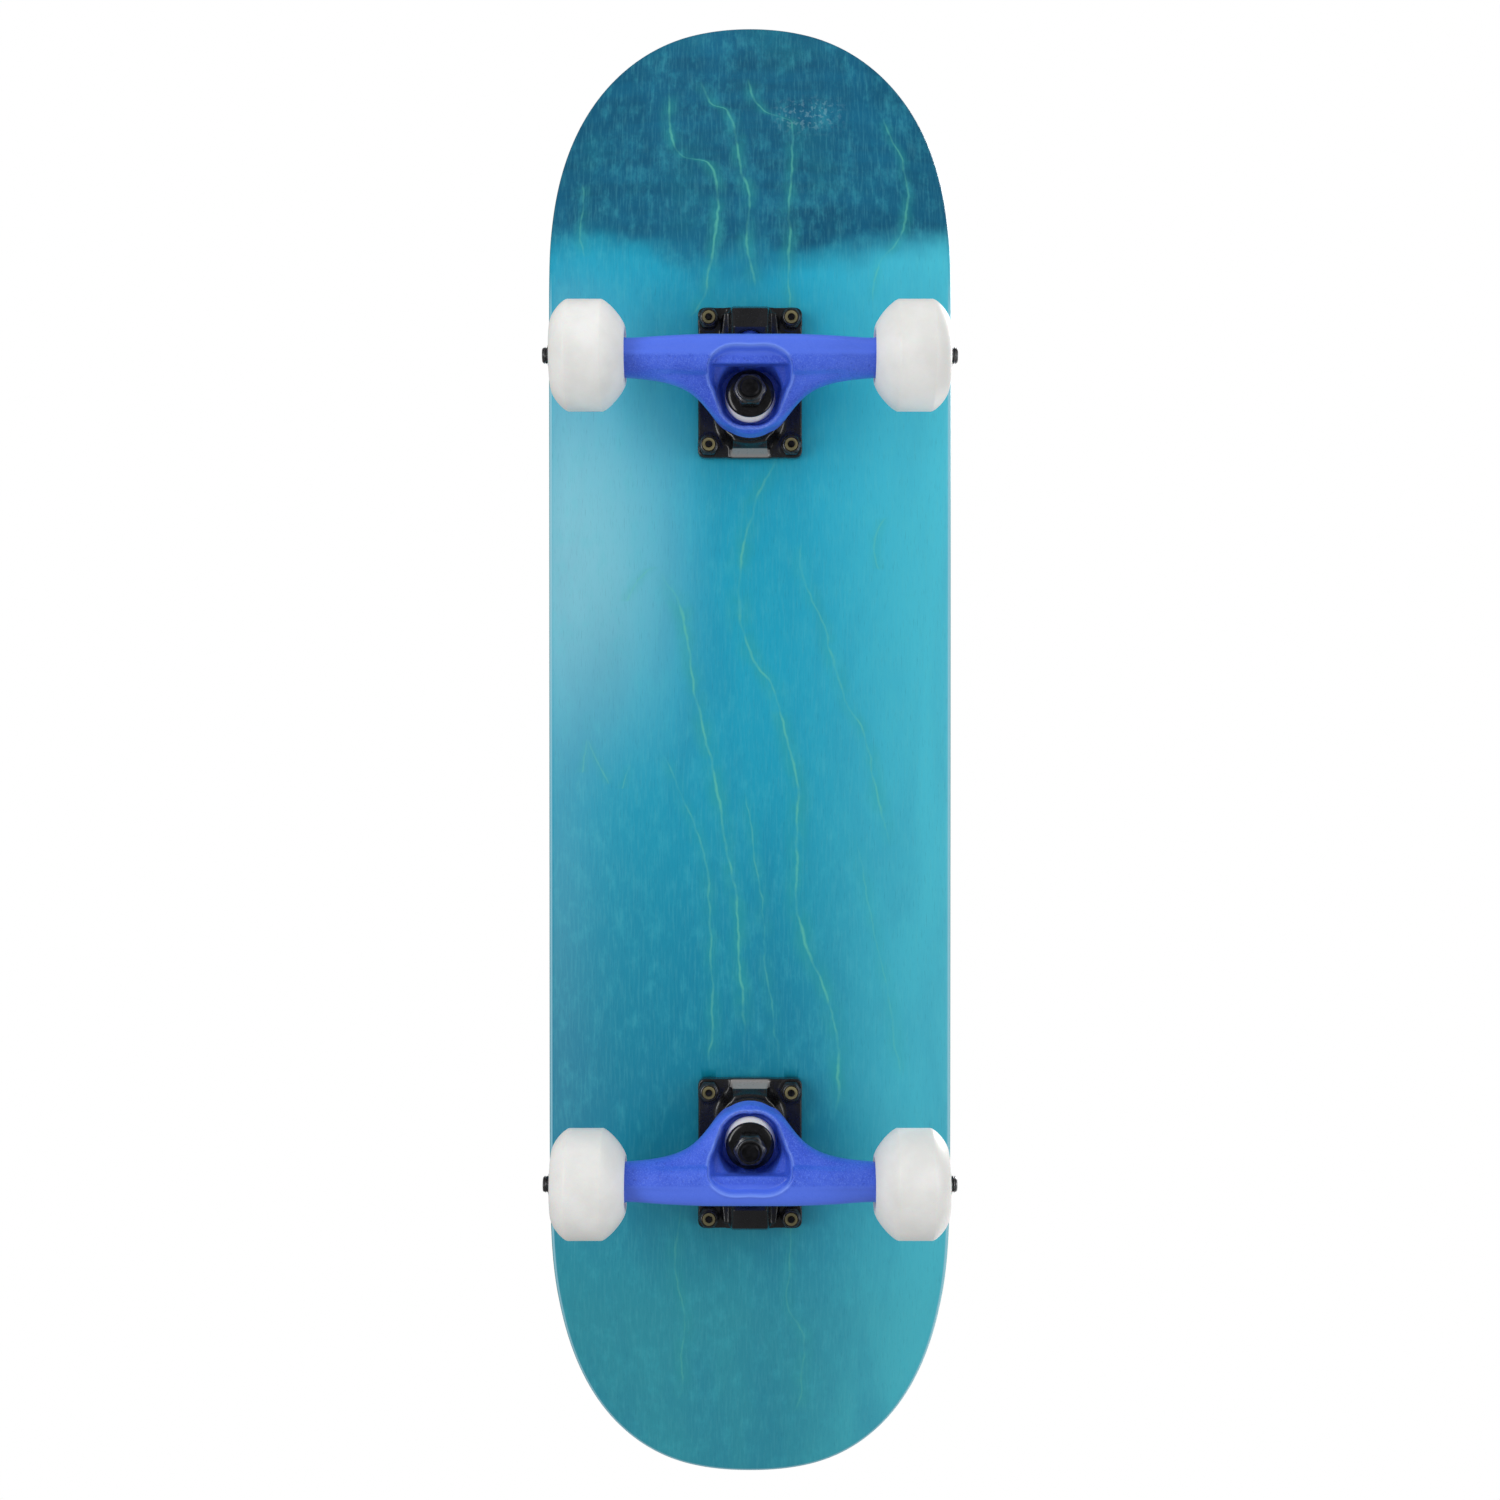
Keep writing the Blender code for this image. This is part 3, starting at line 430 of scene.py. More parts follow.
def hanger_form(p):
    """The hanger: a beam with collars, a tilted web to the ring, a bowl cut from below, and the pivot's arm.

    The beam's section is |x|^power + |z|^power = size^power, squarer in the middle than at the collars.
    """
    x, side, drop = p[:, 0], np.abs(p[:, 1]), -p[:, 2]
    q = np.stack([x, side, -drop], -1)
    # The beam between the wheels, and the collars at its ends
    power = 2.0 + 1.1 * ease(-side, -58, -40)
    size = BEAM_RADIUS + BEAM_SWELL * ease(-side, -60, -18)
    beam = (np.abs(x - AXLE[0]) ** power + np.abs(drop + AXLE[2]) ** power) ** (1 / power) - size
    beam = smooth_both(beam, side - BEAM_HALF, 1.0)
    collar = cylinder(q, AXLE, ACROSS, COLLAR_RADIUS, 59.3, HANGER_HALF, 0.7)
    # The web, between its sloping face, its back and its curved inner edge
    face = web_face(x, drop)
    thick = 9.0 + 1.5 * ease(-side, -30, -12)
    web = smooth_both(face, -face - thick, 2.5)
    web = smooth_both(web, (hanger_outline(side) - x) * 0.8, 4.0)
    web = smooth_both(web, x - 5.0, 3.0)
    web = smooth_both(web, side - BEAM_HALF, 1.0)
    # The ring round the kingpin
    ring = cylinder(q, SEAT, KINGPIN, RING_RADIUS, RING_TOP, 36, 1.2)
    ring = smooth_both(ring, face, 1.6)
    body = smooth_join(smooth_join(web, ring, 4.0), beam, 1.2)
    body = np.minimum(body, collar)
    # The arm to the pivot, with a brace to it from each side of the web
    neck = RING_CENTRE + 33 * STEER
    arm = spindle(q, (1.0, 0, -45), neck, 10.0, 6.4)
    brace = spindle(q, (4.5, 19.0, -51), neck - 2 * STEER, 6.5, 5.0)
    yoke = smooth_join(arm, brace, 5.0)
    along = (q - RING_CENTRE) @ STEER
    yoke = smooth_both(yoke, along - YOKE_LENGTH, 1.2)
    body = smooth_join(body, yoke, 4.0)
    # The raised lip round the bowl's mouth
    outer = smooth_both(face, drop - FACE_DROP + 0.2, 0.5)
    mouth = bowl_outline(x, side)
    lip = smooth_both(np.abs(mouth - 0.4) - 0.6, np.abs(outer) - 0.75, 0.5)
    body = smooth_join(body, lip, 0.8)
    # The bowl, which narrows as it deepens, with a ledge over the axle and a seat for the bushing
    deep = np.maximum(-outer, 0)
    ledge = smooth_both(-0.2 - x, np.abs(drop - LEDGE_DROP + 5) - 5, 1.2)
    bowl = mouth + 0.30 * deep + 0.6 * ease(deep, 0.5, 1.1)
    well = cylinder(q, SEAT, KINGPIN, WELL_RADIUS, RING_FACE, 60, 0.3)
    bowl = smooth_both(bowl, smooth_join(deep - BOWL_DEPTH, well, 2.0), 1.0)
    seat = cylinder(q, SEAT, KINGPIN, ROAD_SEAT_RADIUS, RING_FACE, 60, 0.3)
    body = smooth_cut(body, smooth_cut(np.minimum(bowl, seat), ledge, 0.8), 0.8)
    body = smooth_cut(body, cylinder(q, SEAT, KINGPIN, RING_HOLE, 5, 60, 0.2), 0.5)
    # The nub in the pivot cup, and the axle's bore
    tip = RING_CENTRE + (STEER_LENGTH - 4.5) * STEER
    body = smooth_join(body, spindle(q, RING_CENTRE + 30 * STEER, tip, NUB_RADIUS, NUB_RADIUS), 0.8)
    return smooth_cut(body, cylinder(q, AXLE, ACROSS, AXLE_BORE, HANGER_HALF - 5, 80, 0.2), 0.4)


def painted_bowl_light_masks(p):
    """How far each point is inside the bowl, and how near it is to the bowl's rim, from 0 to 1: the masks for
    the bowl's painted shade and its rim's painted highlight.
    """
    x, side, drop = p[:, 0], np.abs(p[:, 1]), -p[:, 2]
    deep = -np.maximum(web_face(x, drop), drop - FACE_DROP)
    mouth = bowl_outline(x, side)
    shelf = ease(x, 0.2, 0.8) * ease(drop, LEDGE_DROP - 0.6, LEDGE_DROP - 0.2)
    inside = ease(-mouth, -0.2, 1.2) * ease(deep, 0.4, 1.6) * (1 - 0.9 * shelf)
    inside *= ease(drop, RING_FACE + 9, RING_FACE + 11)
    rim = ease(-np.abs(mouth - 0.3), -1.0, -0.2) * ease(-np.abs(deep), -1.2, -0.6)
    return np.stack([inside, rim], -1)


PLATE_HALF = (37.7, 26.1)
PLATE_CORNER = 3.0
PLATE_MIDDLE, PLATE_HALF_DEPTH = -3.3, 3.0
BOSS_RADIUS, BOSS_HALF_DEPTH = 6.2, 3.2
BOLT_HOLE = 2.75
BOARD_SEAT_RADIUS = 15.6
CUP_SOCKET = 7.2
# The rib's outline from the side, as (x, z): the sloping end, the kingpin's seat and the pivot's housing
RIB = [
    (-37.0, -1.5), (-37.3, -6.3), (-33.3, -12.6), (-30.5, -15.4), (-2.0, -12.4), (8.0, -9.2), (16.0, -9.4),
    (19.0, -18.5), (24.4, -24.2), (34.6, -19.6), (36.3, -15.5), (36.8, -1.5),
]


def plate_form(p):
    """The baseplate: a flange with bosses, a rib along it, the kingpin's seat and the pivot's housing."""
    x, side, z = p[:, 0], np.abs(p[:, 1]), p[:, 2]
    q = np.stack([x, side, z], -1)
    # The flange, thicker round the bolts
    plan = box_form(np.stack([x, side], -1), (0, 0), PLATE_HALF, PLATE_CORNER)
    off_middle = np.abs(z - PLATE_MIDDLE)
    flange = smooth_both(plan, off_middle - PLATE_HALF_DEPTH, 0.9)
    from_bolt = np.hypot(np.abs(x) - BOLT_SPACING[0] / 2, side - BOLT_SPACING[1] / 2)
    boss = smooth_both(from_bolt - BOSS_RADIUS, off_middle - BOSS_HALF_DEPTH, 0.5)
    flange = smooth_join(flange, smooth_both(boss, plan, 0.5), 0.6)
    # The rib along the middle, and the cone under the kingpin's seat
    wide = 8.8 + 1.2 * ease(x, 6, 20) + 0.10 * (z + 12)
    rib = smooth_both(polygon_form(x, z, RIB), side - wide, 1.6)
    seat = cylinder(q, SEAT, KINGPIN, BOARD_SEAT_RADIUS, -10.5, 0.0, 1.0)
    cone = spindle(q, SEAT - 9 * KINGPIN, SEAT - 3 * KINGPIN, 17.5, 13.0)
    seat = smooth_join(seat, smooth_both(cone, (q - SEAT) @ KINGPIN + 2.0, 1.0), 2.0)
    body = smooth_join(smooth_join(flange, rib, 2.4), seat, 2.0)
    # A fin at each side of the pivot's housing
    fin = smooth_both(np.abs(side - 14.5 + 0.12 * (x - 10)) - 1.6, np.abs(x - 22) - 12.0, 1.0)
    fin = smooth_both(fin, -z - 9.5 - 0.22 * (x - 22), 1.2)
    body = smooth_join(body, smooth_both(fin, z + 1, 0.5), 2.0)
    body = smooth_both(body, z + 0.3, 0.4)
    # The holes: the kingpin's head and shaft, the pivot cup and the bolts
    pocket = cylinder(q, SEAT, KINGPIN, 8.6, -40, -6.3, 0.4)
    bore = cylinder(q, SEAT, KINGPIN, 5.1, -10, 5, 0.1)
    socket = cylinder(q, RING_CENTRE, STEER, CUP_SOCKET, 20, 50.6, 0.4)
    for cut in (pocket, bore, socket, from_bolt - BOLT_HOLE):
        body = smooth_cut(body, cut, 0.5)
    return body


# Trucks: the steel, rubber and nylon parts

FINE_PITCH, COARSE_PITCH = 1.06, 0.8
KINGPIN_RADIUS = 4.76
KINGPIN_HEAD = {"flats": 13.6, "low": -11.8, "high": -6.6}
KINGPIN_START, KINGPIN_THREAD, KINGPIN_END = -8.0, 34.5, 43.6
KINGPIN_NUT_SEAT = 34.2
BOLT_RADIUS = 2.4
BOLT_LENGTH, BOLT_THREAD = 25.4, 14.0
BOLT_PILOT = (1.55, 2.4)
HEAD_RADIUS = 4.8
HEAD_TOP = 11.6
CROSS_DEPTH = 1.7
CROSS_ARM, CROSS_HALF_WIDTH, CROSS_CORE = 2.5, 0.55, 1.1
NUT_SEAT = -6.6
AXLE_RADIUS = 4.0
AXLE_THREAD = 88.9
# Lock nuts: across the flats, height, bore, and the collar's radius and height
KINGPIN_NUT = (14.3, 7.8, 5.06, 6.4, 1.8)
MOUNTING_NUT = (9.5, 5.8, 2.75, 4.3, 1.6)
HUB_NUT = (12.7, 7.2, 4.3, 5.9, 1.6)
# Their nylon rings: bore, outer radius and a height, with the ring from NYLON_DEPTH to NYLON_SUNK under it
KINGPIN_NYLON = (4.85, 5.6, 7.8)
MOUNTING_NYLON = (1.7, 3.2, 6.6)
HUB_NYLON = (4.02, 5.1, 7.2)
NYLON_DEPTH, NYLON_SUNK = 1.5, 0.35

# Sections turned round the kingpin, as (radius, distance from the seat, rounding of the corner)
TOP_WASHER = rounded([
    (5.0, 32.3), (9.8, 32.2), (11.2, 31.4), (11.8, 31.5, 0.25), (11.7, 32.7, 1.0), (9.6, 33.9, 1.8),
    (5.0, 34.1),
], 0.3, 6)
BOTTOM_WASHER = rounded([
    (5.0, 0.3), (12.4, 0.3, 1.5), (15.0, 1.6, 0.8), (15.0, 2.6, 0.25), (14.2, 2.6, 0.25), (12.6, 2.0, 0.8),
    (5.0, 1.9),
], 0.3, 5)
BUSHING_BORE = 5.06
# Each bushing's two ends, with the one that stays with the board first
BOARD_ENDS = (2.4, 14.2)
ROAD_ENDS = (31.8, 23.8)
BOARD_BUSHING = rounded([
    (BUSHING_BORE, BOARD_ENDS[0]), (11.7, BOARD_ENDS[0], 1.2), (12.8, 8.3, 3.5), (11.7, BOARD_ENDS[1], 1.2),
    (BUSHING_BORE, BOARD_ENDS[1]),
], 0.4, 6)
ROAD_BUSHING = rounded([
    (BUSHING_BORE, ROAD_ENDS[1]), (12.3, ROAD_ENDS[1], 0.8), (12.3, 26.6, 1.5), (10.9, ROAD_ENDS[0], 0.8),
    (BUSHING_BORE, ROAD_ENDS[0]),
], 0.4, 6)
PIVOT_CUP = rounded([
    (0, 50.3), (6.9, 50.3, 0.6), (6.9, 39.9, 0), (7.9, 39.3), (7.9, 38.3), (5.6, 38.3), (5.0, 39.5),
    (4.9, 47.6, 1.0), (0, 48.8),
], 0.4, closed=False)


def ring_section(hole, radius, low, high, edge=0.3, steps=4):
    """The section of a plain ring with its corners rounded."""
    return rounded([(hole, low), (radius, low), (radius, high), (hole, high)], edge, steps)


def phillips_head(radius, depth, origin, line, rings=26, segments=96):
    """A countersunk head, whose cross is a dip of depth x (1 - wall).

    The wall grows from 0 to 1 past either arm's sides, and the dip is shallower towards the arms' ends.
    """
    share = np.linspace(0, 1, rings)[:, None] ** 0.9
    turn = np.linspace(0, TAU, segments, endpoint=False)
    radii = np.repeat(share * radius, segments, axis=1)
    u, v = np.abs(share * radius * np.cos(turn)), np.abs(share * radius * np.sin(turn))
    arms = [np.maximum(a / CROSS_HALF_WIDTH, b / CROSS_ARM) for a, b in ((u, v), (v, u))]
    wall = ease(np.minimum(np.minimum(*arms), np.hypot(u, v) / CROSS_CORE), 0.8, 1.15)
    top = -depth * (1 - wall) * (1 - 0.25 * ease(np.hypot(u, v), 0.8, 2.5))
    cone = np.array([(radius, -0.12), (radius - 0.1, -0.3), (BOLT_RADIUS, BOLT_RADIUS - radius)])
    cone = np.vstack([cone, (0, BOLT_RADIUS - radius)])
    cone = np.repeat(cone[:, :, None], segments, axis=2)
    return carried(np.vstack([radii, cone[:, 0]]), np.vstack([top, cone[:, 1]]), origin, line, closed=False)


def bolt_spots():
    """The middles of a truck's four mounting holes, on its mounting face."""
    half_length, half_width = BOLT_SPACING[0] / 2, BOLT_SPACING[1] / 2
    return [np.array([x * half_length, y * half_width, 0.0]) for x in (-1, 1) for y in (-1, 1)]


class Truck:
    """One truck: its place, and the functions that make its pieces."""

    def __init__(self, end):
        low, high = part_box(f"{end}_baseplate")
        self.end = end
        self.turn = 1 if end == "front" else -1
        self.origin = np.array([(low.x + high.x) / 2, 0.0, DECK_BOTTOM])
        self.hanger = f"{end}_hanger"

    def world(self, points):
        """Truck millimetres as metres in the shared frame. The rear truck is turned half round."""
        return self.origin + np.asarray(points) * MM * (self.turn, self.turn, 1)

    def add(self, name, shape, look, slot, body="root", stands_for=None, **more):
        """A piece of this truck, which stands for the CAD node of its name unless others are given."""
        points, quads = shape
        node = stands_for if stands_for is not None else f"{self.end}_{name}"
        placed = (self.world(points), quads)
        return add_piece(f"{self.end}_{name}_fine", placed, look, slot, body, node, **more)

    def add_lock_nut(self, name, size, ring, nylon, seat, line, body="root"):
        """A lock nut, and the nylon ring whose bore is smaller than the thread."""
        self.add(name, hex_nut(*size, seat, line), BLACK_NUT, "black_zinc", body)
        bore, radius, collar = ring
        section = ring_section(bore, radius, collar - NYLON_DEPTH, collar - NYLON_SUNK)
        self.add(f"{name}_nylon", turned(section, seat, line, 48), nylon, "black_zinc", body, ())

    def side_name(self, side):
        """Which rail a wheel is by: side is the sign of its y in the truck's own frame."""
        return "left" if (side > 0) == (self.end == "front") else "right"


def build_castings(truck, castings):
    """The hanger and the baseplate. The rear pair is the front pair turned round."""
    for name, look, slot, body in (
        ("hanger", BLUE_CASTING, "blue_paint", truck.hanger),
        ("baseplate", BLACK_CASTING, "black_paint", "root"),
    ):
        points = castings[name][0]
        # The marks map carries the masks for the bowl's painted shade and its rim's painted highlight.
        values = {"truck": points[:, [0, 2]] * MM, "marks": painted_bowl_light_masks(points)}
        truck.add(name, castings[name], look, slot, body, values=values, sharp=60)


def build_kingpin(truck):
    """The kingpin and all that it holds."""
    head = hex_head(**KINGPIN_HEAD, origin=SEAT, line=KINGPIN)
    shaft = threaded_rod(
        KINGPIN_RADIUS, KINGPIN_START, KINGPIN_END, KINGPIN_THREAD, FINE_PITCH, SEAT, KINGPIN
    )
    truck.add("kingpin", joined(head, shaft), BLACK_STEEL, "black_steel")
    for name, profile in (("bottom_washer", BOTTOM_WASHER), ("top_washer", TOP_WASHER)):
        truck.add(name, turned(profile, SEAT, KINGPIN, 96), BLACK_GLOSS, "black_steel")
    nut_seat = SEAT + KINGPIN_NUT_SEAT * KINGPIN
    truck.add_lock_nut("kingpin_nut", KINGPIN_NUT, KINGPIN_NYLON, DARK_NYLON, nut_seat, KINGPIN)
    for name, profile, ends in (
        ("board_bushing", BOARD_BUSHING, BOARD_ENDS), ("road_bushing", ROAD_BUSHING, ROAD_ENDS),
    ):
        piece = truck.add(name, turned(profile, SEAT, KINGPIN, 96), BUSHING, "bushing_urethane", None)
        start, end = (truck.world(SEAT + place * KINGPIN) for place in ends)
        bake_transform(piece)
    truck.add("pivot_cup", turned(PIVOT_CUP, RING_CENTRE, STEER, 64), CUP, "cup_urethane")


def build_hardware(truck):
    """Four mounting bolts, with heads in the grip tape and lock nuts under the baseplate."""
    for number, spot in enumerate(bolt_spots(), 1):
        top = spot - HEAD_TOP * DOWN
        rod = threaded_rod(
            BOLT_RADIUS, BOLT_RADIUS, BOLT_LENGTH, BOLT_THREAD, COARSE_PITCH, top, DOWN, 32, 0.3, BOLT_PILOT
        )
        head = phillips_head(HEAD_RADIUS, CROSS_DEPTH, top, -DOWN)
        truck.add(f"mounting_bolt_{number}", joined(rod, head), BOLT_BLACK, "black_steel")
        seat = spot - NUT_SEAT * DOWN
        truck.add_lock_nut(f"mounting_nut_{number}", MOUNTING_NUT, MOUNTING_NYLON, OLIVE_NYLON, seat, DOWN)


def build_axle(truck):
    """A plain bar through the hanger, with a threaded end at each side."""
    half, radius = 60.0, AXLE_RADIUS
    bar = turned([(0, -half), (radius, -half), (radius, half), (0, half)], AXLE, ACROSS, 40, closed=False)
    ends = []
    for line in (-ACROSS, ACROSS):
        ends.append(threaded_rod(radius, half - 0.1, AXLE_HALF, AXLE_THREAD, FINE_PITCH, AXLE, line, 40, 0.8))
    truck.add("axle", joined(bar, *ends), AXLE_STEEL, "bare_steel", truck.hanger)


WHEEL_IN, WHEEL_OUT = 59.7, 95.1
TREAD_IN, TREAD_OUT = 70.9, 87.0
WHEEL_RADIUS = DECK_BOTTOM / MM + AXLE[2]
LIP_IN, LIP_OUT = 13.6, 17.0


def shoulder(tread, face, lip, power, steps=22):
    """A wheel's shoulder: the superellipse |u|^power + |v|^power = 1 from the tread's edge to the lip."""
    turn = np.linspace(0.0, math.pi / 2, steps + 1)
    u, v = np.sin(turn) ** (2 / power), np.cos(turn) ** (2 / power)
    return np.stack([lip + (WHEEL_RADIUS - lip) * v, tread + (face - tread) * u], -1)


def wheel_profile():
    """The wheel's section, as (radius, distance from the truck's middle), once round."""
    outer = shoulder(TREAD_OUT, WHEEL_OUT, LIP_OUT, 1.38)
    inner = shoulder(TREAD_IN, WHEEL_IN, LIP_IN, 1.30)[::-1]
    tread = np.array([(WHEEL_RADIUS, y) for y in np.linspace(TREAD_IN, TREAD_OUT, 7)[1:-1]])
    seat_in, seat_out = INNER_BEARING - 0.2, OUTER_BEARING + BEARING + 0.2
    gap_in, gap_out = INNER_BEARING + BEARING, OUTER_BEARING
    face_out = [(LIP_OUT - 0.8, WHEEL_OUT - 0.15), (15.4, WHEEL_OUT - 0.9), (12.6, WHEEL_OUT - 1.3)]
    face_out += [(12.0, WHEEL_OUT - 2.0)]
    bore = [(11.6, seat_out + 1.2), (11.1, seat_out), (11.1, gap_out - 0.1), (9.3, gap_out - 0.3)]
    bore += [(8.9, gap_out - 2), (8.9, gap_in + 2), (9.3, gap_in + 0.3)]
    bore += [(11.1, gap_in + 0.1), (11.1, seat_in), (11.6, seat_in - 1.2)]
    face_in = [(12.0, WHEEL_IN + 2.0), (12.0, WHEEL_IN + 0.9), (12.5, WHEEL_IN + 0.25)]
    face_in += [(13.0, WHEEL_IN + 0.05)]
    return np.vstack([inner, tread, outer, face_out, bore, face_in])


def bearing_profiles(start):
    """Outer race, inner race and the two shields of a ball bearing, as sections."""
    end = start + BEARING
    outer = rounded([
        (9.6, start), (11.0, start), (11.0, end), (9.6, end), (9.6, end - 0.9, 0), (10.1, end - 1.3, 0),
        (10.1, start + 1.3, 0), (9.6, start + 0.9, 0),
    ], 0.25, 3)
    inner = rounded([
        (4.0, start), (6.2, start), (6.2, start + 1.2, 0), (5.7, start + 1.8, 0), (5.7, end - 1.8, 0),
        (6.2, end - 1.2, 0), (6.2, end), (4.0, end),
    ], 0.3, 3)
    shields = []
    for face, way in ((start, 1), (end, -1)):
        shields.append(rounded([
            (6.35, face + way * 0.75), (7.0, face + way * 0.7), (7.3, face + way * 0.45),
            (9.1, face + way * 0.45), (9.55, face + way * 0.75), (9.55, face + way * 1.0),
            (6.35, face + way * 1.0),
        ], 0.12, 2))
    return outer, inner, shields


def build_wheel(truck, side):
    """A wheel with its two bearings, and the spacer, speed washers and nut that hold it on the axle."""
    name = truck.side_name(side)
    line = side * ACROSS
    body = f"{truck.end}_{name}_wheel"

    def turn(profile, segments=96):
        """A section turned round this wheel's end of the axle."""
        return turned(profile, AXLE, line, segments)

    truck.add(f"{name}_wheel", turn(wheel_profile(), 144), WHEEL, "white_urethane", body, sharp=30)
    for where, start in (("inner", INNER_BEARING), ("outer", OUTER_BEARING)):
        outer, inner, shields = bearing_profiles(start)
        bearing = f"{name}_{where}_bearing"
        truck.add(bearing, joined(turn(outer), turn(inner)), RACE_STEEL, "bare_steel", body)
        truck.add(f"{bearing}_shields", joined(*map(turn, shields)), SHIELD_STEEL, "bare_steel", body, ())
    spacer = ring_section(4.1, 5.6, INNER_BEARING + BEARING + 0.1, OUTER_BEARING - 0.1, 0.4, 3)
    truck.add(f"{name}_bearing_spacer", turn(spacer, 48), AXLE_STEEL, "bare_steel", truck.hanger)
    for where, start in (("inner", HANGER_HALF), ("outer", AXLE_NUT - WASHER)):
        washer = turn(ring_section(4.05, 6.0, start + 0.05, start + WASHER - 0.05, 0.2), 64)
        truck.add(f"{name}_{where}_speed_washer", washer, RACE_STEEL, "bare_steel", truck.hanger, ())
    seat = AXLE + AXLE_NUT * line
    truck.add_lock_nut(f"{name}_axle_nut", HUB_NUT, HUB_NYLON, DARK_NYLON, seat, line, truck.hanger)


# The deck

class DeckForm:
    """Maps places on the flat wood, along and across in millimetres, to the bent board."""

    def __init__(self):
        bolts = BOLT_SPACING[0] / 2 + BOLT_TO_BEND
        trucks = [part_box(f"{end}_baseplate") for end in ("rear", "front")]
        middles = [(low.x + high.x) / 2 / MM for low, high in trucks]
        self.bends = (bolts - middles[0], bolts + middles[1])
        self.roundings = (TAIL_ROUNDING, NOSE_ROUNDING)
        bend_plan = KICK_RADIUS * math.sin(KICK_ANGLE)
        straight = [(TIP_X / MM - bend - bend_plan) / math.cos(KICK_ANGLE) for bend in self.bends]
        self.reach = [bend + KICK_RADIUS * KICK_ANGLE + rest for bend, rest in zip(self.bends, straight)]

    def place(self, along, across, height):
        """The point at a height over the underside.

        Past a bend the board follows a circle and then a straight kick. Its rails rise with the square of the
        distance from the flat middle.
        """
        end = (along > 0).astype(int)
        sign = 2 * end - 1
        past = np.maximum(np.abs(along) - np.choose(end, self.bends), 0)
        turn = np.minimum(past / KICK_RADIUS, KICK_ANGLE)
        straight = np.maximum(past - KICK_RADIUS * KICK_ANGLE, 0)
        plan = np.abs(along) - past + KICK_RADIUS * np.sin(turn) + straight * np.cos(turn)
        rise = KICK_RADIUS * (1 - np.cos(turn)) + straight * np.sin(turn)
        from_flat = np.maximum(np.abs(across) - FLAT_HALF, 0) / (HALF_WIDTH - FLAT_HALF)
        tilt = np.sign(across) * 2 * RAIL_RISE * from_flat / (HALF_WIDTH - FLAT_HALF)
        lift = RAIL_RISE * from_flat**2 + height / np.hypot(1, tilt)
        sideways = across - height * tilt / np.hypot(1, tilt)
        x = sign * (plan - lift * np.sin(turn))
        return np.stack([x * MM, sideways * MM, DECK_BOTTOM + (rise + lift * np.cos(turn)) * MM], -1)

    def outline(self, per_end=90, per_side=120):
        """The wood's edge, once round, and the directions out of it.

        Each end is the superellipse |a|^along + |c|^across = 1, and the sides are straight.
        """
        parts = []
        for end, sign in ((1, 1), (0, -1)):
            form = self.roundings[end]
            turn = np.linspace(-math.pi / 2, math.pi / 2, per_end * 2 + 1)
            share = np.sign(turn) * np.abs(np.sin(turn)) ** (2 / form["across"])
            out = np.abs(np.cos(turn)) ** (2 / form["along"])
            along = sign * (self.reach[end] - form["length"] * (1 - out))
            parts.append(np.stack([along, sign * share * HALF_WIDTH], -1))
            far = 1 - end
            far_start = -sign * (self.reach[far] - self.roundings[far]["length"])
            run = np.linspace(along[-1], far_start, per_side + 1)[1:-1]
            parts.append(np.stack([run, np.full(len(run), sign * HALF_WIDTH)], -1))
        edge = np.vstack(parts)
        keep = np.linalg.norm(edge - np.roll(edge, 1, 0), axis=1) > 0.02
        edge = edge[keep]
        ahead, back = np.roll(edge, -1, 0) - edge, edge - np.roll(edge, 1, 0)
        ahead /= np.linalg.norm(ahead, axis=1, keepdims=True)
        back /= np.linalg.norm(back, axis=1, keepdims=True)
        tangent = ahead + back
        tangent /= np.linalg.norm(tangent, axis=1, keepdims=True)
        return edge, np.stack([tangent[:, 1], -tangent[:, 0]], -1)


def sheet_shape(form, inset, low, high, round_low, round_high, rows=26):
    """A sheet that follows the board, from one height to another, with a rounded rim.

    Its rows run from the middle line out over the underside, round the rim and back over the top. The middle
    line stops a half width before each tip, so the rows fan out there.
    """
    edge, out = form.outline()
    edge = edge - inset * out
    stop = HALF_WIDTH * 0.93
    spine = np.stack([np.clip(edge[:, 0], stop - form.reach[0], form.reach[1] - stop), 0 * edge[:, 0]], -1)
    quarter = math.pi / 2
    rim = []
    for angle in np.linspace(0, quarter, 7):
        rim.append((round_low * (1 - math.sin(angle)), low + round_low * (1 - math.cos(angle))))
    rim += [(0, z) for z in np.linspace(low + round_low, high - round_high, 9)[1:-1]]
    for angle in np.linspace(0, quarter, 6):
        rim.append((round_high * (1 - math.cos(angle)), high - round_high * (1 - math.sin(angle))))
    shares = np.linspace(0, 1, rows)[:-1] ** 0.85
    flat_rows, heights = [], []
    for share in shares:
        flat_rows.append(spine + share * (edge - rim[0][0] * out - spine))
        heights.append(low)
    for depth, height in rim:
        flat_rows.append(edge - depth * out)
        heights.append(height)
    for share in shares[::-1]:
        flat_rows.append(spine + share * (edge - rim[-1][0] * out - spine))
        heights.append(high)
    wood = np.stack(flat_rows)
    height = np.broadcast_to(np.array(heights)[:, None], wood.shape[:2])
    points = form.place(wood[..., 0], wood[..., 1], height)
    shape = grid(points, wrap_columns=True)
    return shape, {
        "wood": wood.reshape(-1, 2) * MM,
        "layer": np.stack([height.ravel(), 0 * height.ravel()], -1) * MM,
    }


